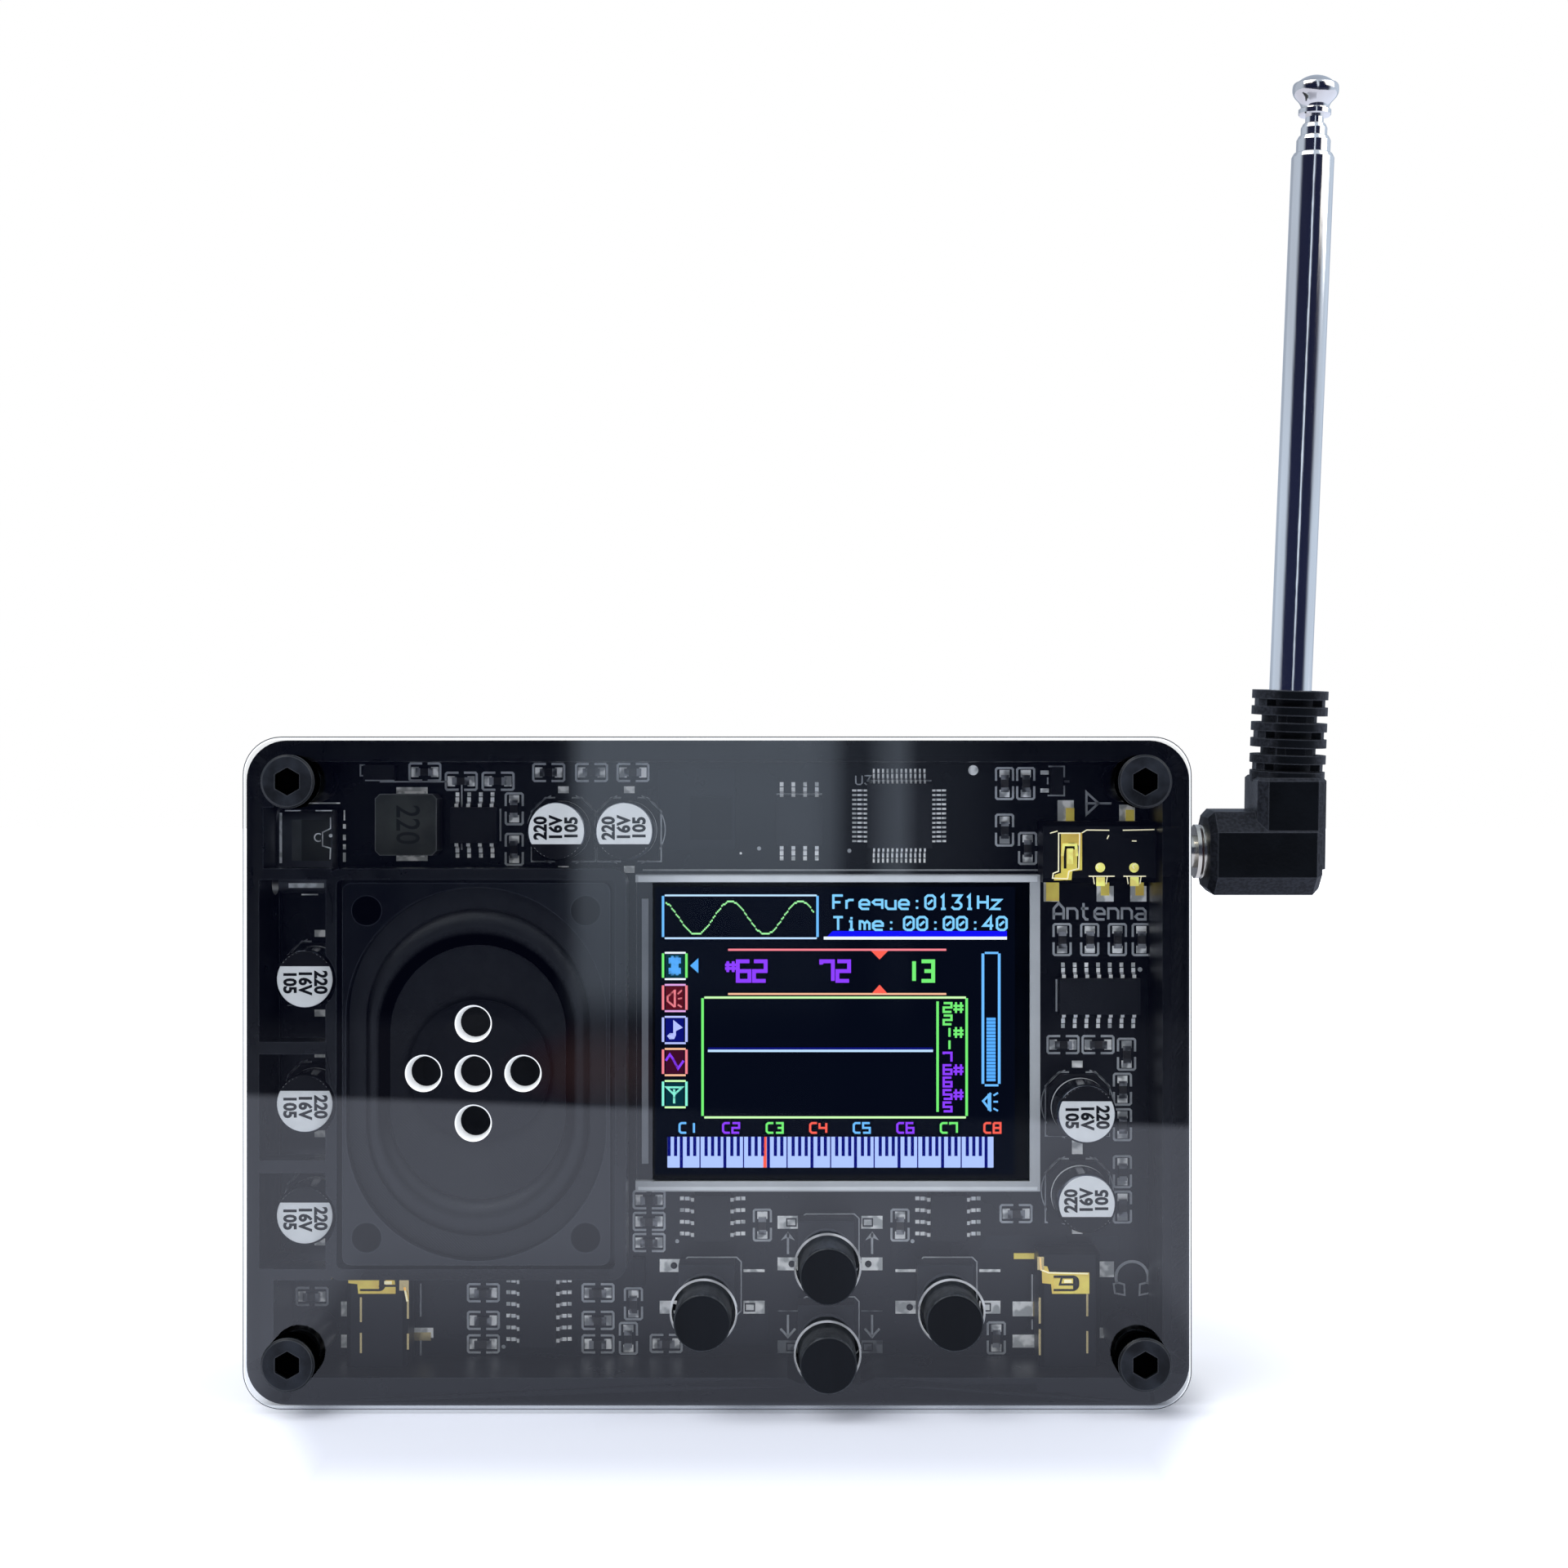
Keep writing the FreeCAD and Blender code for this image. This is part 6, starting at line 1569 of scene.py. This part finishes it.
class THEREMIN_OT_antenna(bpy.types.Operator):
    """Nickel plug, moulded angle piece and chromed telescopic sections"""

    bl_idname = "theremin.antenna"
    bl_label = "Antenna"

    def execute(self, context):
        chrome = surface("antenna_chrome", (0.9, 0.83, 0.77), 0.11, metallic=1.0, grain=1800, depth=0.1,
                         mottle=0.25, stretch=(1, 1, 0.12))
        nickel = surface("plug_nickel", (0.7, 0.65, 0.55), 0.2, metallic=1.0, grain=4000, depth=0.05,
                         mottle=0.1)
        for node in ("antenna_tube_1", "antenna_tube_2", "antenna_tube_3", "antenna_rod", "antenna_knob"):
            dress(node, chrome)
        for node in ("plug_tip", "plug_sleeve", "plug_flange"):
            dress(node, nickel)
        dress("plug_insulator", surface("insulator_black", (0.012, 0.012, 0.012), 0.4))
        # Painted light: highlights along the moulding's edges and paler sideways faces.
        dress("plug_moulding", surface("moulding_black", (0.0012, 0.0022, 0.004), 0.45, grain=2600, depth=0.4,
                                       mottle=0.3, specular=0.12, edge=0.18 * MM, edge_highlight=(0.05, 0.055, 0.068),
                                       side=(0.017, 0.019, 0.025)))
        self.groove()
        return {"FINISHED"}

    def groove(self):
        """Dark red lacquer in the groove of the plug's flange."""
        low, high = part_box("plug_flange")
        lacquer = surface("groove_lacquer", (0.05, 0.008, 0.006), 0.3, grain=3000)
        middle, start = (low + high) / 2, low.x + 0.42 * MM
        radius = (high.z - low.z) / 2 - 0.42 * MM
        grids = []
        for reach in (radius, radius - 0.05 * MM):
            grids.append([[(x, middle.y + reach * math.cos(turn), middle.z + reach * math.sin(turn))
                           for x in (start, start + 0.21 * MM)]
                          for turn in (math.tau * k / 48 for k in range(49))])
        drawing = Drawing(0, 0)
        drawing.shell(*grids)
        drawing.piece("flange_groove", "antenna_base", "plug_nickel", [lacquer])


# ---------------------------------------------------------------- stage


class THEREMIN_OT_stage(bpy.types.Operator):
    """White floor, bright sky with a dark sector that shiny faces mirror, two soft lamps and the camera"""

    bl_idname = "theremin.stage"
    bl_label = "Stage"

    def execute(self, context):
        self.floor()
        self.sky()
        values = settings().stage
        self.lamp("key_lamp", (-0.32, -0.28, 0.62), 0.55, values.key_power)
        self.lamp("fill_lamp", (0.45, -0.2, 0.4), 0.5, values.fill_power)
        self.camera()
        context.scene.view_settings.view_transform = "Standard"
        return {"FINISHED"}

    def floor(self):
        """White floor. Shiny faces see it end a little in front of the object, with the room beyond."""
        values = settings().stage
        material = bpy.data.materials.new("floor_white")
        tree = clear_tree(material)
        place = add(tree, "ShaderNodeSeparateXYZ", {0: add(tree, "ShaderNodeTexCoord").outputs["Object"]})
        slant = maths(tree, "MULTIPLY", place.outputs["X"], -0.2276)
        reach = maths(tree, "ADD", place.outputs["Y"], slant)
        faint = ramp(tree, place.outputs["Y"], -0.43, -0.36, 0.0, 0.05)
        near = maths(tree, "MAXIMUM", ramp(tree, reach, -0.232, -0.217), faint)
        aside = maths(tree, "ABSOLUTE", maths(tree, "SUBTRACT", place.outputs["X"], 3 * MM))
        shade = maths(tree, "MAXIMUM", ramp(tree, place.outputs["Y"], -0.11, -0.03, 1.0, 0.54),
                      ramp(tree, aside, 0.044, 0.056))
        view = add(tree, "ShaderNodeVectorMath", {0: add(tree, "ShaderNodeNewGeometry").outputs["Incoming"],
                                                  1: (-1, -1, -1)}, operation="MULTIPLY")
        lit_floor = self.room_colour(tree, maths(tree, "MULTIPLY", near, shade), values.floor_white)
        room = self.room(tree, view.outputs[0])
        seen = add(tree, "ShaderNodeMix", {0: 1.0, 6: lit_floor, 7: room}, data_type="RGBA",
                   blend_type="LIGHTEN")
        mirrored = add(tree, "ShaderNodeEmission", {"Color": seen.outputs[2]})
        path = add(tree, "ShaderNodeLightPath")
        matte = add(tree, "ShaderNodeBsdfDiffuse", {"Color": (0.85, 0.885, 0.99, 1)})
        strength = product(tree, path.outputs["Is Camera Ray"], self.floor_lift(tree, place))
        lift = add(tree, "ShaderNodeEmission", {"Color": (0.96, 0.98, 1.0, 1), "Strength": strength})
        lit = add(tree, "ShaderNodeAddShader", {0: matte.outputs[0], 1: lift.outputs[0]})
        whole = add(tree, "ShaderNodeMixShader",
                    {0: path.outputs["Is Glossy Ray"], 1: lit.outputs[0], 2: mirrored.outputs[0]})
        end_material(tree, whole)
        mesh = bpy.data.meshes.new("floor")
        half = 3.0
        mesh.from_pydata([(-half, -half, -0.0001), (half, -half, -0.0001), (half, half, -0.0001),
                          (-half, half, -0.0001)], [], [(0, 1, 2, 3)])
        mesh.materials.append(material)
        floor = bpy.data.objects.new("floor", mesh)
        bpy.context.scene.collection.objects.link(floor)

    def floor_lift(self, tree, place):
        """Light added to the floor for the eye: weak just before the case, strong further off."""
        values = settings().stage
        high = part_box("mid_frame")[1]
        across = maths(tree, "ABSOLUTE", maths(tree, "SUBTRACT", place.outputs["X"], 2.5 * MM))
        across = maths(tree, "SUBTRACT", across, high.x - 9.5 * MM)
        across = maths(tree, "MULTIPLY", maths(tree, "MAXIMUM", across, 0.0), 2.9)
        along = maths(tree, "SUBTRACT", PANEL_FRONT, place.outputs["Y"])
        behind = maths(tree, "SUBTRACT", place.outputs["Y"], high.y)
        along = maths(tree, "MAXIMUM", maths(tree, "MAXIMUM", along, behind), 0.0)
        away = maths(tree, "ADD", across, along)
        near = ramp(tree, away, 13 * MM, 33 * MM, 0.0, values.near_lift)
        return maths(tree, "ADD", near, ramp(tree, away, 50 * MM, 250 * MM, 0.0, values.floor_lift))

    def room_light(self, tree, direction):
        """Brightness that shiny faces mirror from a direction: a bright strip in a dark front, pale sides."""
        ray = add(tree, "ShaderNodeSeparateXYZ", {0: direction})
        turn = maths(tree, "ARCTAN2", ray.outputs["X"], maths(tree, "MULTIPLY", ray.outputs["Y"], -1.0))
        sides = maths(tree, "MAXIMUM", ramp(tree, turn, -1.05, -1.5), ramp(tree, turn, 0.85, 1.35))
        behind = ramp(tree, maths(tree, "ABSOLUTE", turn), 2.2, 2.5, 0.68, 0.5)
        above = ramp(tree, ray.outputs["Z"], 0.45, 0.65)
        across = ramp(tree, turn, -STRIP_REACH, STRIP_REACH, kind="LINEAR")
        strip = add(tree, "ShaderNodeValToRGB", {0: across})
        stops = strip.color_ramp.elements
        stops[0].position, stops[1].position = 0.0, 1.0
        stops[0].color = stops[1].color = (0, 0, 0, 1)
        for angle, level in STRIP_PROFILE:
            stop = stops.new((math.radians(angle) + STRIP_REACH) / 2 / STRIP_REACH)
            stop.color = (level, level, level, 1)
        pale = maths(tree, "MULTIPLY", maths(tree, "MAXIMUM", sides, above), behind)
        height = ray.outputs["Z"]
        fall = product(tree, ramp(tree, height, -0.11, -0.085, 0.14, 1.0),
                       ramp(tree, height, -0.09, 0.01, 0.68, 1.0))
        return maths(tree, "MAXIMUM", pale, maths(tree, "MULTIPLY", strip.outputs[0], fall))

    def room_colour(self, tree, light, white):
        """Colour of a brightness of the mirrored room, from its dark blue to a white."""
        level = settings().stage.mirror_level
        return blend_colours(tree, light, (0.012, 0.016, 0.05, 1), tuple(c * level for c in white) + (1.0,))

    def room(self, tree, direction):
        """Colour that shiny faces mirror from a direction, with a dim warm spot low in the strip."""
        colour = self.room_colour(tree, self.room_light(tree, direction), settings().stage.room_white)
        off = vectors(tree, "SUBTRACT", direction, (-0.085, -1.0, -0.126))
        far = vectors(tree, "LENGTH", vectors(tree, "MULTIPLY", off, (1.0, 0.3, 2.4)))
        share = ramp(tree, far, 0.06, 0.0)
        warm = add(tree, "ShaderNodeMix", {0: share, 6: colour, 7: (0.2, 0.085, 0.06, 1)}, data_type="RGBA",
                   blend_type="ADD")
        return warm.outputs[2]

    def sky(self):
        """White to the eye, even light on the object, and the room in its reflections."""
        values = settings().stage
        world = bpy.data.worlds.new("studio")
        bpy.context.scene.world = world
        tree = clear_tree(world)
        direction = coordinates(tree, "Generated")
        room = self.room(tree, direction)
        path = add(tree, "ShaderNodeLightPath")
        even = (0.97 * values.ambient, 0.985 * values.ambient, values.ambient, 1)
        lit = blend_colours(tree, path.outputs["Is Glossy Ray"], even, room)
        seen = maths(tree, "MAXIMUM", path.outputs["Is Camera Ray"], path.outputs["Is Transmission Ray"])
        colour = blend_colours(tree, seen, lit, (1, 1, 1, 1))
        shader = add(tree, "ShaderNodeBackground", {"Color": colour, "Strength": 1.0})
        add(tree, "ShaderNodeOutputWorld", {"Surface": shader.outputs[0]})

    def lamp(self, name, place, size, power):
        """Square soft lamp that looks at the middle of the case."""
        data = bpy.data.lights.new(name, "AREA")
        data.size = size
        data.energy = power
        lamp = bpy.data.objects.new(name, data)
        lamp.location = place
        aim = Vector((0, 0, 0.04)) - Vector(place)
        lamp.rotation_euler = aim.to_track_quat("-Z", "Y").to_euler()
        bpy.context.scene.collection.objects.link(lamp)

    def camera(self):
        """Level camera that looks straight at the front."""
        values = settings().stage
        data = bpy.data.cameras.new("front_camera")
        data.lens = values.lens
        data.sensor_width = 36.0
        data.clip_start = 0.005
        camera = bpy.data.objects.new("front_camera", data)
        camera.location = values.camera_place
        camera.rotation_euler = (math.radians(90), 0, 0)
        bpy.context.scene.collection.objects.link(camera)
        bpy.context.scene.camera = camera


# ---------------------------------------------------------------- sidebar and registration

OPERATORS = (THEREMIN_OT_panel, THEREMIN_OT_case, THEREMIN_OT_board, THEREMIN_OT_parts,
             THEREMIN_OT_capacitors, THEREMIN_OT_display, THEREMIN_OT_speaker, THEREMIN_OT_sockets,
             THEREMIN_OT_buttons, THEREMIN_OT_antenna, THEREMIN_OT_stage)


class THEREMIN_PT_sidebar(bpy.types.Panel):
    """Buttons for each group of pieces"""

    bl_idname = "THEREMIN_PT_sidebar"
    bl_label = "Theremin"
    bl_space_type = "VIEW_3D"
    bl_region_type = "UI"
    bl_category = "Theremin"

    def draw(self, context):
        for operator in OPERATORS:
            self.layout.operator(operator.bl_idname)


CLASSES = (PanelSettings, BoardSettings, DisplaySettings, StageSettings, THEREMIN_settings) + OPERATORS + (
    THEREMIN_PT_sidebar,)


def register():
    """Add the classes and the scene's settings."""
    for item in CLASSES:
        bpy.utils.register_class(item)
    bpy.types.Scene.theremin = PointerProperty(type=THEREMIN_settings)


def unregister():
    """Take the classes and settings away."""
    del bpy.types.Scene.theremin
    for item in reversed(CLASSES):
        bpy.utils.unregister_class(item)


def main():
    """Dress the whole object."""
    register()
    for operator in OPERATORS:
        group, name = operator.bl_idname.split(".")
        getattr(getattr(bpy.ops, group), name)()


if __name__ == "__main__":
    main()
